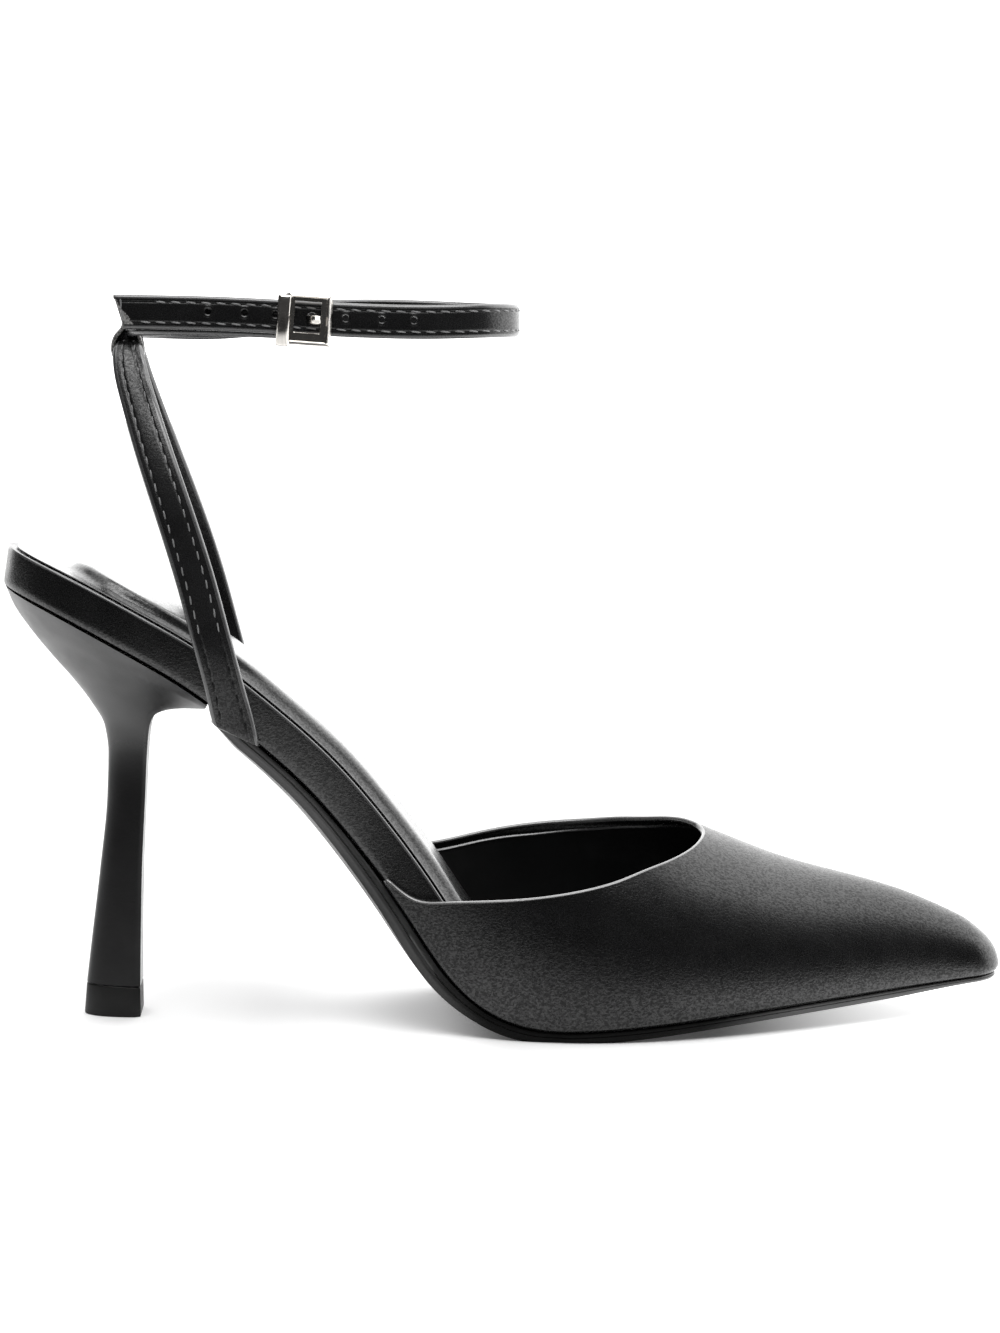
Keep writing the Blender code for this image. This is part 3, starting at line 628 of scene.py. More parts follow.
def make_outsole():
    """The outsole: a cut edge with one scored line, rounded under the waist and flat at the tread."""
    fore = stations(126.0, LENGTH - 1.3, 8.0, TOE_CAP, 110)[23:]
    x = np.concatenate([np.linspace(HEEL_FRONT + 3.0, 128.0, 110), fore])[:, None]
    low, high = outline(x, 1.4 * ease(x, 80.0, 100.0) - 0.5)
    middle, half = (low + high) / 2, (high - low) / 2
    waist = 1.4 * ease(x, 52.0, 60.0) * (1 - ease(x, 100.0, 116.0))
    thick = sole["thick"](x) + waist - 0.5 * ease(x, 215.0, 240.0)
    rounding = sole["round"](x)
    wall = thick * (0.72 - 0.3 * rounding)
    narrow = np.minimum(1.0, 0.25 * half)
    side = ((0.5, 0.0), (0.18, 0.03), (0.04, 0.14), (0.0, 0.3), (0.0, 0.46), (0.22, 0.52), (0.22, 0.55),
            (0.0, 0.61), (0.0, 0.8), (0.05, 0.92), (0.16, 1.0))
    shares = np.sin(np.linspace(-1, 1, 27) * np.pi / 2)
    drop = thick * (1 - 0.38 * rounding * np.abs(shares) ** 2.2)
    inset = np.minimum(0.7, 0.3 * half) * (1 - rounding) + 0.25 * rounding
    columns = [(low + a * narrow, -GAP - b * wall) for a, b in side]
    columns += [(middle + (half - inset) * shares, -GAP - drop)]
    columns += [(high - a * narrow, -GAP - b * wall) for a, b in side[::-1]]
    points = sole_loops(x, columns)
    points[..., 2] = np.maximum(points[..., 2], 0.0)
    add_piece("outsole_edge", *loft(points), [OUTSOLE], "outsole", "outsole", crisp=50)


def upper_points(x, angle):
    """Points of the upper's outer face, by x and the angle from the ridge, negative on the outer side."""
    low, high = outline(x, UPPER_GROW)
    edge = np.where(angle < 0, low, high)
    crown = ridge["y"](x)
    foot = sole["feather"](x)
    nose = np.clip((x - LENGTH + TOE_ROUND) / TOE_ROUND, 0.0, 1.0)
    height = (ridge["height"](x) - foot) * (1 - nose ** NOSE_POWER) ** (1 / NOSE_POWER)
    away = np.abs(np.sin(angle)) ** (2 / SIDE_POWER)
    rise = np.abs(np.cos(angle)) ** (2 / CROWN_POWER)
    return np.stack([x + 0 * angle, crown + (edge - crown) * away, foot + height * rise], -1)


def topline_angles():
    """The topline as two curves of angle over x, and the front of its throat."""
    radius = 40.0
    line = np.array([(x, math.radians(angle)) for x, angle in TOPLINE])
    lengths = running_length(line * (1.0, radius))
    at = np.linspace(0, lengths[-1], 4000)
    x, angle = (spline(lengths, values)(at) for values in line.T)
    front = int(np.argmax(x))
    outer = np.maximum.accumulate(x[:front + 1]), angle[:front + 1]
    inner = np.maximum.accumulate(x[front:][::-1]), angle[front:][::-1]
    return lambda v: np.interp(v, *outer), lambda v: np.interp(v, *inner), x[front], angle[front]


def nearest(points, line):
    """How far each point is from the closest point of a line, worked out in batches."""
    batch = 2000
    parts = [points[start:start + batch, None] for start in range(0, len(points), batch)]
    return np.concatenate([np.sqrt(((part - line[None]) ** 2).sum(-1).min(1)) for part in parts])


def facing_depth(x):
    """How far below the topline the inner facing ends."""
    return 1.9 + 0.8 * ease(x, 115.0, 140.0) - 0.4 * ease(x, 130.0, 142.0)


def vamp_sheet():
    """The upper's outer face: points, faces, point numbers by row, side and step, and the toe's own."""
    samples = 300
    outer_edge, inner_edge, front, seam = topline_angles()
    wings = front - (front - WING_X) * (1 - np.arange(WING_ROWS + 1) / WING_ROWS) ** 2.0
    toes = front + (LENGTH - front) * np.sin(np.pi / 2 * np.arange(1, TOE_ROWS) / TOE_ROWS) ** 1.1
    rows = np.concatenate([wings, toes])
    points = []
    index = np.zeros((len(rows), 2, UPPER_COLUMNS), int)
    for row, x in enumerate(rows):
        closed = row >= WING_ROWS
        near = np.concatenate([RIM_ROWS, np.add(facing_depth(x), FACING_ROWS)])
        for side, foot in enumerate((-np.pi / 2, np.pi / 2)):
            edge = seam if closed else (outer_edge, inner_edge)[side](x)
            angles = np.linspace(edge, foot, samples)
            reach = running_length(upper_points(np.full(samples, x), angles))
            close = near * min(1.0, reach[-1] / 16.0)
            wide = np.linspace(close[-1], reach[-1], UPPER_COLUMNS - len(close) + 1)[1:]
            wanted = np.interp(np.concatenate([close, wide]), reach, angles)
            kept = UPPER_COLUMNS - int(closed and side == 1)
            index[row, side, :kept] = len(points) + np.arange(kept)
            index[row, side, kept:] = index[row, 0, kept:]
            points += list(upper_points(np.full(UPPER_COLUMNS, x), wanted)[::-1][:kept])
    tip = len(points)
    points.append(np.array([LENGTH, float(ridge["y"](LENGTH)), float(sole["feather"](LENGTH))]))
    faces = []
    for row, side, i in np.ndindex(len(rows), 2, UPPER_COLUMNS - 1):
        here, after = index[row, side, i:i + 2]
        ahead = index[row + 1, side, i:i + 2] if row + 1 < len(rows) else [tip]
        face = (here, *ahead, after)
        faces.append(face[::-1] if side else face)
    return np.array(points), faces, index, tip


def sheet_normals(points, faces):
    """The normals at the points of a sheet."""
    sheet = bpy.data.meshes.new("vamp_sheet")
    sheet.from_pydata(points.tolist(), [], faces)
    out = np.zeros(points.size)
    sheet.vertex_normals.foreach_get("vector", out)
    bpy.data.meshes.remove(sheet)
    return out.reshape(-1, 3)


def make_vamp():
    """The upper: a shell over the last with a folded topline, an inner facing and a tucked foot."""
    # The topline's fold takes the rim leather and the facing's step the edge leather: both pale colours are
    # painted highlights.
    outside, inside, step, fold_highlight = range(4)
    points, faces, index, tip = vamp_sheet()
    count = len(points)
    rim = [*index[:WING_ROWS + 1, 0, -1], *index[:WING_ROWS, 1, -1][::-1]]
    line = points[rim]
    dense = np.concatenate([line[:-1] * (1 - t) + line[1:] * t for t in (0.0, 0.25, 0.5, 0.75)])
    below = nearest(points, dense)
    foot = points[:, 2] - sole["feather"](points[:, 0])
    tuck = FEATHER_TUCK * np.clip(1 - foot / TUCK_HEIGHT, 0.0, 1.0) ** 2
    shaped = points - sheet_normals(points, faces) * tuck[:, None]
    out = sheet_normals(shaped, faces)
    past = below - facing_depth(points[:, 0])
    wall = UPPER_WALL * (0.92 - 0.1 * ease(below, 0.3, 1.2)) + FACING_STEP * ease(past, -0.2, 0.3)
    wall = wall + FACING_LIP * bump_at(past, 0.0, 0.26)
    inner = shaped - out * wall[:, None]
    solid = faces + [tuple(count + i for i in face[::-1]) for face in faces]
    depths = [past[list(face)].mean() for face in faces]
    marks = [outside] * len(faces)
    marks += [step if abs(depth) < 0.3 else outside if depth < 0 else inside for depth in depths]
    edge = [*index[0, 0, :-1], *rim, *index[0, 1, :-1][::-1]]
    away = unit(np.cross(unit(np.gradient(shaped[edge], axis=0)), out[edge]))
    under, here = index[5, 0, -2:]
    if np.dot(away[edge.index(here)], shaped[under] - shaped[here]) > 0:
        away = -away
    centre = (shaped[edge] + inner[edge]) / 2
    half = wall[edge][:, None] / 2
    folds = []
    for turn in np.pi * np.arange(1, FOLD_STEPS) / FOLD_STEPS:
        over = np.sign(np.cos(turn)) * abs(np.cos(turn)) ** 0.9
        folds.append(centre + half * over * out[edge] + FOLD_OVER * np.sin(turn) ** 0.9 * away)
    width = len(edge)
    starts = [2 * count + k * width for k in range(FOLD_STEPS - 1)]
    rings = [edge, *[range(start, start + width) for start in starts], [count + i for i in edge]]
    for near, far in zip(rings, rings[1:]):
        solid += [(near[i], near[i + 1], far[i + 1], far[i]) for i in range(width - 1)]
    marks += [fold_highlight] * (FOLD_STEPS * (width - 1))
    tail = [*index[:, 0, 0], tip, *index[:, 1, 0][::-1]]
    solid += [(a, b, count + b, count + a) for a, b in zip(tail, tail[1:])]
    marks += [inside] * (len(tail) - 1)
    solid += [tuple(ring[end] for ring in rings) for end in (0, -1)]
    marks += [outside] * 2
    add_piece("vamp_leather", np.concatenate([shaped, inner, *folds]), solid, [UPPER, LINING, PAINTED_EDGE_HIGHLIGHT, PAINTED_RIM_HIGHLIGHT],
              "upper_leather", "vamp", marks)


def heel_loop(back_x, back_z, front_x, front_z, half, seat, turns=36):
    """One section of the heel: round at the back, flat at the front."""
    share = 1 - np.cos(np.pi / 2 * (np.arange(turns + 1) + 0.15) / (turns + 0.15))
    stem = (1 - (1 - share) ** 2.4) ** 0.5
    broad = (1 - (1 - np.minimum(share * 1.9, 1.0)) ** 2.3) ** (1 / 2.3)
    wide = half * (stem + (broad - stem) * seat)
    wide = wide - 0.6 * (1 - seat) * ease(share, 0.9, 1.0)
    outer = np.stack([back_x + (front_x - back_x) * share, -wide, back_z + (front_z - back_z) * share], -1)
    return np.concatenate([outer, outer[::-1] * (1, -1, 1)])


def monotone(rows, count):
    """More rows between given ones, on smooth curves that don't swing past the given ones."""
    rows = np.asarray(rows, float)
    steps = np.linalg.norm(np.diff(rows, axis=0), axis=-1).mean(-1)
    at = np.concatenate([[0.0], np.cumsum(steps)])
    slopes = np.diff(rows, axis=0) / steps[:, None, None]
    lean = np.zeros_like(rows)
    a, b = slopes[:-1], slopes[1:]
    wa = (2 * steps[1:] + steps[:-1])[:, None, None]
    wb = (steps[1:] + 2 * steps[:-1])[:, None, None]
    with np.errstate(divide="ignore", invalid="ignore"):
        mean = (wa + wb) / (wa / a + wb / b)
    lean[1:-1] = np.where(a * b > 0, mean, 0.0)
    lean[0], lean[-1] = slopes[0], slopes[-1]
    value = np.linspace(0, at[-1], count)
    i = np.clip(np.searchsorted(at, value, side="right") - 1, 0, len(steps) - 1)
    h = steps[i, None, None]
    t = (value - at[i])[:, None, None] / h
    return ((2 * t ** 3 - 3 * t * t + 1) * rows[i] + (t ** 3 - 2 * t * t + t) * h * lean[i]
            + (3 * t * t - 2 * t ** 3) * rows[i + 1] + (t ** 3 - t * t) * h * lean[i + 1])


def make_heel():
    """The heel: a slim stem that flares out to the heel seat, in one smooth cover."""
    seat = heel_loop(0.4, 0.0, HEEL_FRONT, 0.0, 25.0, 1.0)
    low, high = outline(seat[:, 0], -0.5)
    seat = np.stack([seat[:, 0], np.where(seat[:, 1] < 0, low, high), sole["feather"](seat[:, 0]) - GAP], -1)
    loops = monotone([heel_loop(*row) for row in HEEL] + [seat], 130)
    rows, cols = loops.shape[:2]
    top = (rows - 1) * cols
    faces = grid(rows, cols) + [tuple(range(cols))]
    faces += [(top + i, top + i + 1, top + cols - 2 - i, top + cols - 1 - i) for i in range(cols // 2 - 1)]
    add_piece("heel_cover", loops.reshape(-1, 3), faces, [HEEL_COVER], "heel_cover", "heel", crisp=40)


def make_heel_tip():
    """The top piece, with eased edges and a fine step where it meets the heel."""
    back, front, half = TIP_FOOT
    foot = np.array((back, 0.0, front, 0.0, half))
    top = np.array(HEEL[0][:5]) + (0.0, -GAP, 0.0, -GAP, 0.15)
    inward = np.array((1, 0, -1, 0, -1))
    levels = ((0.0, 0.25), (0.01, 0.1), (0.05, 0.0), (0.5, 0.0), (0.95, 0.0), (0.985, 0.08), (1.0, 0.22))
    loops = [heel_loop(*(foot + (top - foot) * share + inward * inset), 0.0) for share, inset in levels]
    add_piece("tip_rubber", *loft(np.array(loops)), [TIP], "heel_tip", "heel_tip", crisp=40)


def frames_of(centres, across, probe, closed=False):
    """Tangents along a strap's middle line, and the way out of its face, away from the strap's middle."""
    ahead = np.roll(centres, -1, 0) - np.roll(centres, 1, 0) if closed else np.gradient(centres, axis=0)
    tangent = unit(ahead)
    out = unit(np.cross(tangent, across))
    if np.dot(out[probe], centres[probe] - centres.mean(0)) < 0:
        out = -out
    return tangent, out


def sweep(centres, across, out, us, vs):
    """Sections, given as across and out, carried along a middle line."""
    return centres[:, None] + across[:, None] * us[..., None] + out[:, None] * vs[..., None]


def strap_section(half, thick, row, puff, count=STRAP_COLUMNS):
    """A strap's section as arrays of (across, out): pillowed face, stitch channels, rolled two-ply edges."""
    half = np.asarray(half, float)[:, None]
    flat = half - STRAP_EDGE
    u = np.linspace(-1, 1, count)[None] * flat
    away = half - np.abs(u)
    v = thick / 2 + puff * (1 - (u / flat) ** 2) - 0.15 * bump_at(away, row, 0.28)
    turn = np.radians(RIM_ANGLES)[None]
    rim_u = flat + STRAP_EDGE * np.cos(turn) - 0.16 * bump_at(turn, 0.0, 0.10)
    rim_v = thick / 2 * np.sin(turn) + 0 * half
    back = np.linspace(1, -1, BACK_COLUMNS)[None] * flat
    us = np.concatenate([u, rim_u, back, -rim_u[:, ::-1]], 1)
    vs = np.concatenate([v, rim_v, np.full_like(back, -thick / 2), rim_v[:, ::-1]], 1)
    return us, vs


def rim_marks(rows, count=STRAP_COLUMNS):
    """Marks for a strap's faces: its two rolled edges get the second finish, on the straps the pale edge
    leather, a painted highlight.
    """
    rim = len(RIM_ANGLES)
    second = count + rim + BACK_COLUMNS
    section = [int(count <= i < count + rim or i >= second) for i in range(1, second + rim + 1)]
    return section * rows


def stitches(name, rows):
    """Thread: each stitch is a small slanted bow whose ends go into the leather; high stitches are painted
    pale as a glint.
    """
    rings, sides = 7, 7
    t = np.linspace(-1, 1, rings)[:, None, None]
    radius = STITCH_RADIUS * (1 - 0.55 * np.abs(t) ** 3)
    turn = 2 * np.pi * np.arange(sides)[:, None] / sides
    shells, marks = [], []
    for here, way, up in zip(*[np.concatenate(parts) for parts in zip(*rows)]):
        way = unit(way + 0.11 * np.cross(way, up))
        over = unit(np.cross(way, up))
        middle = here + way * t * STITCH_LENGTH / 2 + up * (0.22 * (1 - t * t) - 0.16)
        shells.append(loft(middle + radius * (np.cos(turn) * over + 0.8 * np.sin(turn) * up)))
        # High stitches take the pale thread, a painted glint; low ones the dark thread.
        marks += [int(here[2] < THREAD_GLINT_FROM_Z)] * len(shells[-1][1])
    add_piece(name, *joined(shells), [GLINT_THREAD, DARK_THREAD], "strap_leather", marks=marks)


def stitch_row(centres, across, frames, aside, lift, start, end):
    """Evenly spaced stitches along a line on a strap's face: places, ways along and ways out."""
    surface = centres + across * aside[:, None] + frames[1] * lift
    length = running_length(surface)
    count = int((length[-1] - start - end) / STITCH_PITCH)
    at = start + (np.arange(count) + 0.5) * STITCH_PITCH
    rows = (surface, *frames)
    places, along, out = (np.stack([np.interp(at, length, part) for part in row.T], -1) for row in rows)
    return places, unit(along), unit(out)


def make_sling_strap():
    """Both legs of the sling strap, joined over the back of the ankle, with two stitched rows."""
    rows = 460
    path = path_of([*SLING, *[(x, -y, *rest) for x, y, *rest in SLING[-2::-1]]])
    data = path(np.linspace(0, 1, rows))
    centres, width, slant = data[:, :3], data[:, 3], np.radians(data[:, 4])
    across = np.stack([np.cos(slant), 0 * slant, np.sin(slant)], -1)
    frames = frames_of(centres, across, 10)
    us, vs = strap_section(width / 2, SLING_THICK, SLING_ROW, SLING_PUFF)
    ends = np.minimum(np.arange(rows), np.arange(rows)[::-1]) * (200.0 / rows)
    tuck = 0.9 * np.clip(1 - ends / 1.6, 0, 1) ** 2
    strap = loft(sweep(centres, across, frames[1], us, vs - tuck[:, None]))
    flat = rounded(SLING_TAB, 3, 1)
    inward = (flat.mean(0) - flat) / 6
    levels = ((-1.2, 0.3), (-1.1, 0.1), (-0.9, 0.0), (0.9, 0.0), (1.1, 0.1), (1.2, 0.3))
    tab = loft(np.array([np.insert(flat + inward * inset, 1, y, axis=1) for y, inset in levels]))
    points, faces = joined([strap, tab])
    # The rims take the pale edge leather, a painted highlight.
    marks = rim_marks(rows - 1)
    marks += [0] * (len(faces) - len(marks))
    add_piece("sling_leather", points, faces, [STRAP, PAINTED_EDGE_HIGHLIGHT], "strap_leather", "sling_strap", marks)
    aside = width / 2 - np.minimum(SLING_ROW, 0.30 * width)
    lift = SLING_THICK / 2 + 0.02
    stitches("sling_stitches",
             [stitch_row(centres, across, frames, sign * aside, lift, 2.6, 2.6) for sign in (-1, 1)])


def make_sling_loop():
    """The small loop that holds the sling strap's top to the ankle strap."""
    count = 150
    centres = path_of([(x, 0.0, z) for x, z in (*LOOP, LOOP[0])])(np.arange(count) / count)
    across = np.tile([0.0, 1.0, 0.0], (count, 1))
    _, out = frames_of(centres, across, 5, closed=True)
    half = np.full(count, LOOP_WIDTH / 2)
    us, vs = strap_section(half, LOOP_THICK, LOOP_ROW, LOOP_PUFF, LOOP_COLUMNS)
    points = sweep(centres, across, out, us, np.clip(vs, -LOOP_THICK / 2, None))
    add_piece("sling_loop_leather", *loft(points, ring=True), [STRAP, RAW], "strap_leather", "sling_loop",
              rim_marks(count, LOOP_COLUMNS))


def half_turn(middle, end, half):
    """Steps of a strap's half turn: the share of the turn, x, and y from half to -half."""
    for share in np.linspace(0, 1, 7):
        yield share, middle + (end - middle) * math.sin(math.pi * share), half * math.cos(math.pi * share)


def ankle_route():
    """The ankle strap's route: buckle end, back bend, far side, front bend, holed end."""
    *back, height = ANKLE_BACK
    _, y_end, z_end = ANKLE_END[0]
    z_far = ANKLE_FAR[-1][2]
    shift = ANKLE_FRONT[2] + y_end
    route = [*ANKLE_START, *[(x, -y, height) for _, x, y in half_turn(*back)], *ANKLE_FAR]
    for share, x, y in half_turn(*ANKLE_FRONT):
        route.append((x, y + share * shift, z_far + (z_end - z_far) * share))
    return [*route, *ANKLE_END]


def make_ankle_strap():
    """The ankle strap: stitched along both edges, punched with holes, its end cut hollow."""
    count, holed_from = 860, 600
    centres = path_of(ankle_route())(np.linspace(0, 1, count))
    across = np.tile([0.0, 0.0, 1.0], (count, 1))
    frames = frames_of(centres, across, 400)
    tangent, out = frames
    half = np.full(count, ANKLE_WIDTH / 2)
    us, vs = strap_section(half, ANKLE_THICK, ANKLE_ROW, ANKLE_PUFF)
    length = running_length(centres)[:, None]
    left = length[-1] - length
    cut = (2.2 * np.clip(us / 4 + 0.2, 0, 1) ** 1.3 - 0.7) * ease(6.0 - left, 0.0, 6.0)
    thin = 1 - 0.35 * np.clip(1 - np.minimum(left, length) / 0.9, 0, 1) ** 2
    points = sweep(centres, across, out, us, vs * thin) + tangent[:, None] * cut[..., None]

    def holed_at(x):
        """The strap's middle at x, on its holed side."""
        return centres[holed_from + np.argmin(np.abs(centres[holed_from:, 0] - x))]

    holes = [holed_at(x) + (0.0, 0.0, HOLE_RISE) for x in HOLE_XS]
    flat, faces = loft(points)
    outs = np.repeat(out, points.shape[1], 0)
    face = (vs > 0.3).reshape(-1)
    for hole in holes:
        gone = np.linalg.norm((flat - hole)[:, (0, 2)], axis=1)
        near = face & (np.abs(flat[:, 1] - hole[1]) < 3) & (gone < 3)
        lift = 0.14 * bump_at(gone[near], 1.15, 0.32) - 0.25 * bump_at(gone[near], 0.5, 0.45)
        flat[near] += outs[near] * lift[:, None]
    # The cut end and a paler patch on the face beside it take the pale cut-edge leather.
    pale_patch = (us > -3.0) & (us < 0.4) & (left < 2.6 - 0.75 * (us + 3.0)) & (vs > 0.3)
    pale_end = ((left < 0.3) | pale_patch)[1:]
    marks = np.where(pale_end, 2, np.reshape(rim_marks(count - 1), pale_end.shape)).ravel().tolist() + [1, 2]
    # The rims take the pale edge leather, a painted highlight.
    strap = add_piece("ankle_leather", flat, faces, [STRAP, PAINTED_EDGE_HIGHLIGHT, RAW], "strap_leather", "ankle_strap", marks)
    punch(strap, [(hole, HOLE_RADIUS) for hole in holes] + [(holed_at(PIN_HOLE_X), PIN_HOLE_RADIUS)])
    aside, lift = half - ANKLE_ROW, ANKLE_THICK / 2 - 0.02
    rows = [stitch_row(centres, across, frames, -aside, lift, 3.0, 3.4),
            stitch_row(centres, across, frames, aside, lift, 3.0, 4.6)]
    for x, z in ((29.7, 172.6), (30.05, 170.0)):
        spot = np.array([[x, ANKLE_END[-1][1] - ANKLE_THICK / 2, z]])
        rows.append((spot, unit(np.array([[0.35, 0.0, -1.9]])), out[-1:]))
    stitches("ankle_stitches", rows)


def punch(piece, holes):
    """Cuts round holes, given as places and radii, through a piece along Y."""
    tools = bmesh.new()
    for place, radius in holes:
        where = Matrix.Translation(Vector((place - OFFSET) * MM)) @ Matrix.Rotation(math.pi / 2, 4, "X")
        bmesh.ops.create_cone(tools, cap_ends=True, segments=24, radius1=radius * MM, radius2=radius * MM,
                              depth=PUNCH_DEPTH * MM, matrix=where)
    mesh = bpy.data.meshes.new("punch")
    tools.to_mesh(mesh)
    tools.free()
    tool = new_object("punch", mesh)
    cut = piece.modifiers.new("Cut", "BOOLEAN")
    cut.operation = "DIFFERENCE"
    cut.solver = "EXACT"
    cut.object = tool
    bpy.context.view_layer.update()
    made = bpy.data.meshes.new_from_object(piece.evaluated_get(bpy.context.evaluated_depsgraph_get()))
    piece.modifiers.clear()
    old = piece.data
    made.name = old.name
    piece.data = made
    made.shade_smooth()
    made.set_sharp_from_angle(angle=math.radians(40))
    bpy.data.meshes.remove(old)
    bpy.data.objects.remove(tool)


def turned(points):
    """The buckle's small turn on the strap, about its middle."""
    angle = math.radians(BUCKLE_TURN)
    back, front, low, high = BUCKLE
    centre = np.array([(back + front) / 2, 0.0, (low + high) / 2])
    x, y, z = np.moveaxis(np.asarray(points, float) - centre, -1, 0)
    return np.stack([x * math.cos(angle) + z * math.sin(angle), y,
                     z * math.cos(angle) - x * math.sin(angle)], -1) + centre


def tube(points, wide, deep, side, steps=4):
    """A rounded bar along points: its section is wide along side and deep across it."""
    side = np.broadcast_to(np.asarray(side, float), points.shape)
    up = unit(np.cross(unit(np.gradient(points, axis=0)), side))
    section = plate(-wide / 2, wide / 2, -deep / 2, deep / 2, 0.4, steps, 1)[None]
    return sweep(points, side, up, section[..., 0], section[..., 1])


def make_buckle_frame():
    """The buckle: a moulded frame under a domed bridge, and its hinge staple behind."""
    back, front, low, high = BUCKLE
    window = back + BRIDGE, front - 2.6, low + 2.9, high - 1.9
    steps, fill, turns = 8, 14, 40
    outer = plate(back + 1.2, front, low, high, 0.4, steps, fill)
    inner = plate(*window, 0.35, steps, fill)
    face, rear = FACE_Y - FACE_DEPTH, FACE_Y - 0.05
    full = rear - face
    profile = ((0.0, full), (0.0, 1.0), (0.02, 0.92), (0.32, 0.10), (0.36, 0.03), (0.41, 0.0), (0.46, 0.10),
               (0.50, 0.5), (0.54, 0.6), (0.97, 0.62), (1.0, 0.7), (1.0, full), (0.5, full))
    loops = []
    for k, depth in profile:
        share = np.full(outer.shape, k)
        if k < 0.6:
            share[outer[:, 1] < (low + high) / 2, 1] *= 0.6
        loops.append(np.insert(outer * (1 - share) + inner * share, 1, face + depth, axis=1))
    shells = [loft(turned(loops), ring=True)]

    turn = np.linspace(0, 2 * np.pi, turns, endpoint=False)
    dome_x, dome_y = (np.sign(v) * np.abs(v) ** 0.8 for v in (np.cos(turn), np.sin(turn)))
    bridge_half, bow = 1.6, 1.5
    bottom, top = low - 0.55, high - 0.75
    ends = ((0.0, 0.72), (0.08, 0.86), (0.25, 0.96), (0.5, 1.0))
    levels = [(bottom + up, size) for up, size in ends]
    levels += [(z, 1.0) for z in np.linspace(bottom + 0.5, top - 0.5, 22)[1:-1]]
    levels += [(top - up, size) for up, size in ends[::-1]]
    peak = 0.58 * (top - bottom)
    loops = []
    for z, size in levels:
        fore = face + 0.1 - bow * (1 - ((z - bottom - peak) / peak) ** 2)
        across = back + 0.45 + bridge_half * size * dome_x
        deep = (fore + rear) / 2 + (rear - fore) / 2 * size * dome_y
        loops.append(np.stack([across, deep, np.full(turns, z)], -1))
    shells.append(loft(turned(loops)))

    x, bend, inset, wide, deep = back + 1.4, 0.7, 0.75, 1.6, 0.9
    hinge = HINGE_Y - HINGE_DEPTH / 2
    upper = [(x, rear - 0.5, high - inset), (x, hinge - bend, high - inset), (x, hinge, high - inset - bend)]
    lower = [(x, y, low + high - z) for x, y, z in upper[::-1]]
    shells.append(loft(tube(turned(upper + lower), wide, deep, (1.0, 0.0, 0.0))))
    add_piece("buckle_nickel", *joined(shells), [NICKEL], "buckle_metal", "buckle_frame", crisp=32)


def make_buckle_pin():
    """The pin: a domed bar from the hinge, up through the strap's hole and on to the frame's edge."""
    rows, nose = 60, 8
    wide, deep, dome = 2.1, 1.0, 0.45
    height = sum(BUCKLE[2:]) / 2
    route = path_of([(x, y, height) for x, y in PIN_ROUTE])(np.linspace(0, 1, rows))
    bars = tube(turned(route), wide, deep, (0.0, 0.0, 1.0), 6)
    middle = bars.mean(1, keepdims=True)
    over = unit(bars - middle)
    bars = bars - (0.0, dome, 0.0) * (1 - over[..., 2:] ** 2) * (over[..., 1:2] < 0)
    shrink = np.ones(rows)
    shrink[-nose:] = np.sqrt(1 - (np.arange(1, nose + 1) / 9.2) ** 2) * 0.35 + 0.65
    pin = loft(middle + (bars - middle) * shrink[:, None, None])
    add_piece("buckle_tongue", *pin, [NICKEL], "buckle_metal", "buckle_pin", crisp=40)


make_insole_rand()
make_insole_pad()
make_outsole()
make_vamp()
make_heel()
make_heel_tip()
make_sling_strap()
make_sling_loop()
make_ankle_strap()
make_buckle_frame()
make_buckle_pin()

# Studio: a wide pale floor, a bright surround with a dark side in front, and one soft box above
STAGE_HALF = 30.0
FLOOR_Z = -2e-5
WHITE = 1.0, 1.0, 1.0
floor_mesh = bpy.data.meshes.new("floor")
floor_corners = ((-1, -1), (1, -1), (1, 1), (-1, 1))
floor_points = [(x * STAGE_HALF, y * STAGE_HALF, FLOOR_Z) for x, y in floor_corners]
floor_mesh.from_pydata(floor_points, [], [(0, 1, 2, 3)])
floor = new_object("floor", floor_mesh)

# The paper is painted darker toward the camera, a painted falloff of light, and its glow is painted light
# that thins out the shadow under the arch, heel and toe
paper = Shader(bpy.data.materials.new("floor_paper"))
along, aside, _ = paper.node("SeparateXYZ", {}, paper.place()).outputs
near = paper.spans("MULTIPLY", aside, (-0.42, -0.235, 0.03, 1.0), (-0.22, -0.04, 0.66, 1.0))
arch = paper.spans("MULTIPLY", along, (-0.065, -0.035, 0.0, 0.25), (-0.02, 0.0, 1.0, 0.0))
ends = paper.spans("ADD", along, (-0.11, -0.07, 0.20, 0.06), (0.045, 0.11, 0.0, 0.85))
floor_mesh.materials.append(paper.finish(
    Base_Color=paper.vector("SCALE", paper.tints(paper.noise(40.0), WHITE, 0.80, 0.82), Scale=near)[0],
    Roughness=0.9,
    Specular_IOR_Level=0.0,
    Emission_Color=(*WHITE, 1.0),
    Emission_Strength=paper.math("MULTIPLY", near, paper.math("ADD", arch, ends)),
))

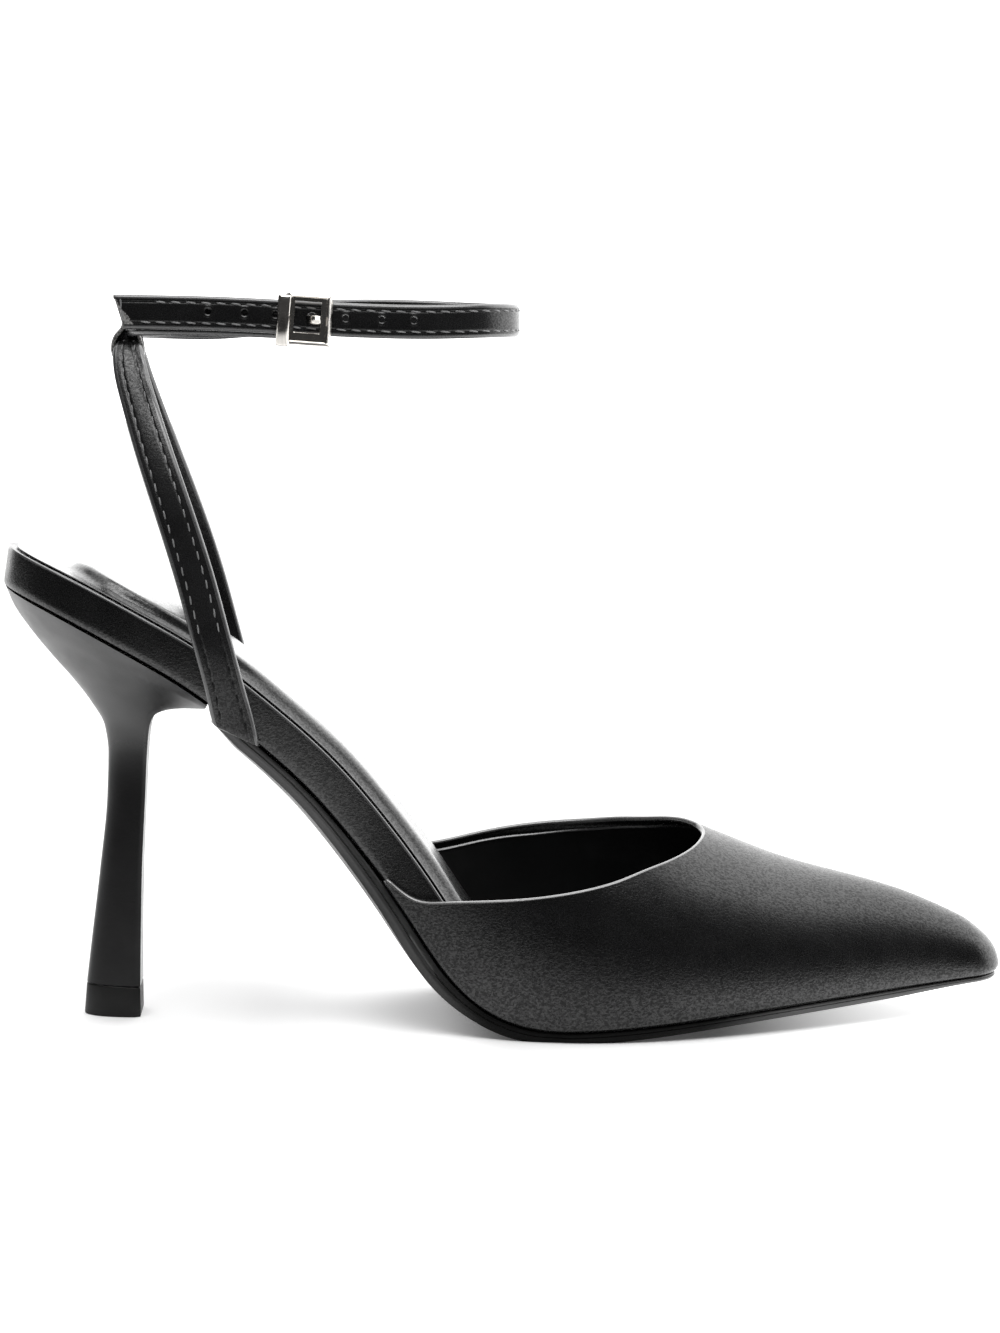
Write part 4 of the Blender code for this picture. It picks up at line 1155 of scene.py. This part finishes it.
SURROUND = 1.4
BACKDROP = 2.45
DARK_SIDE = 0.035
DARK_BEARING = math.radians(-30.0)
BRIGHT_BEARING = math.radians(150.0)
world = bpy.data.worlds.new("studio")
bpy.context.scene.world = world
sky = Shader(world)
where = sky.node("TexCoord", {}).outputs["Generated"]
height = sky.node("SeparateXYZ", {}, where).outputs["Z"]
bearing = sky.vector("NORMALIZE", sky.vector("MULTIPLY", where, (1.0, 1.0, 0.0))[0])[0]


def toward(angle):
    """How far a direction of the surround lies toward a bearing, which counts from the camera's side."""
    return sky.vector("DOT_PRODUCT", bearing, (math.sin(angle), -math.cos(angle), 0.0))["Value"]


ahead = sky.span(toward(DARK_BEARING), -0.55, -0.08)
dark = sky.math("MULTIPLY", ahead, sky.span(height, 0.74, 0.88, 1.0, 0.0))
bright = sky.span(toward(BRIGHT_BEARING), -0.2, 0.8, SURROUND, BACKDROP)
background = sky.tree.nodes["Background"].inputs
sky.put(background["Color"], (*WHITE, 1.0))
sky.put(background["Strength"], sky.math("MULTIPLY", bright, sky.span(dark, 0.0, 1.0, 1.0, DARK_SIDE)))

LIGHT_SIZE = 1.0, 0.6
LIGHT_POWER = 8.0
LIGHT_PLACE = 0.05, -0.40, 1.0
LIGHT_AIM = Vector((0.02, 0.0, 0.05))
light = bpy.data.lights.new("top_light", "AREA")
light.shape = "RECTANGLE"
light.size, light.size_y = LIGHT_SIZE
light.energy = LIGHT_POWER
top_light = new_object("top_light", light)
top_light.location = LIGHT_PLACE
aim = LIGHT_AIM - top_light.location
top_light.rotation_euler = aim.to_track_quat("-Z", "Y").to_euler()

# Camera, at the photograph's angle to the shoe
AZIMUTH, ELEVATION, ROLL = math.radians(-4.0), math.radians(5.5), math.radians(0.6)
DISTANCE = 0.650
TARGET = Vector((-0.0032385, -0.0007525, 0.086))
LENS = 71.27
SENSOR = 36.0
camera_data = bpy.data.cameras.new("camera")
camera_data.lens = LENS
camera_data.sensor_width = SENSOR
camera_data.clip_start = 0.02
camera_data.clip_end = 100.0
camera = new_object("camera", camera_data)
angles = (AZIMUTH, "Z"), (math.pi / 2 - ELEVATION, "X"), (ROLL, "Z")
first, second, third = (Matrix.Rotation(angle, 4, axis) for angle, axis in angles)
away = Matrix.Translation((0.0, 0.0, DISTANCE))
camera.matrix_world = Matrix.Translation(TARGET) @ first @ second @ third @ away
bpy.context.scene.camera = camera
bpy.context.scene.view_settings.view_transform = "Standard"
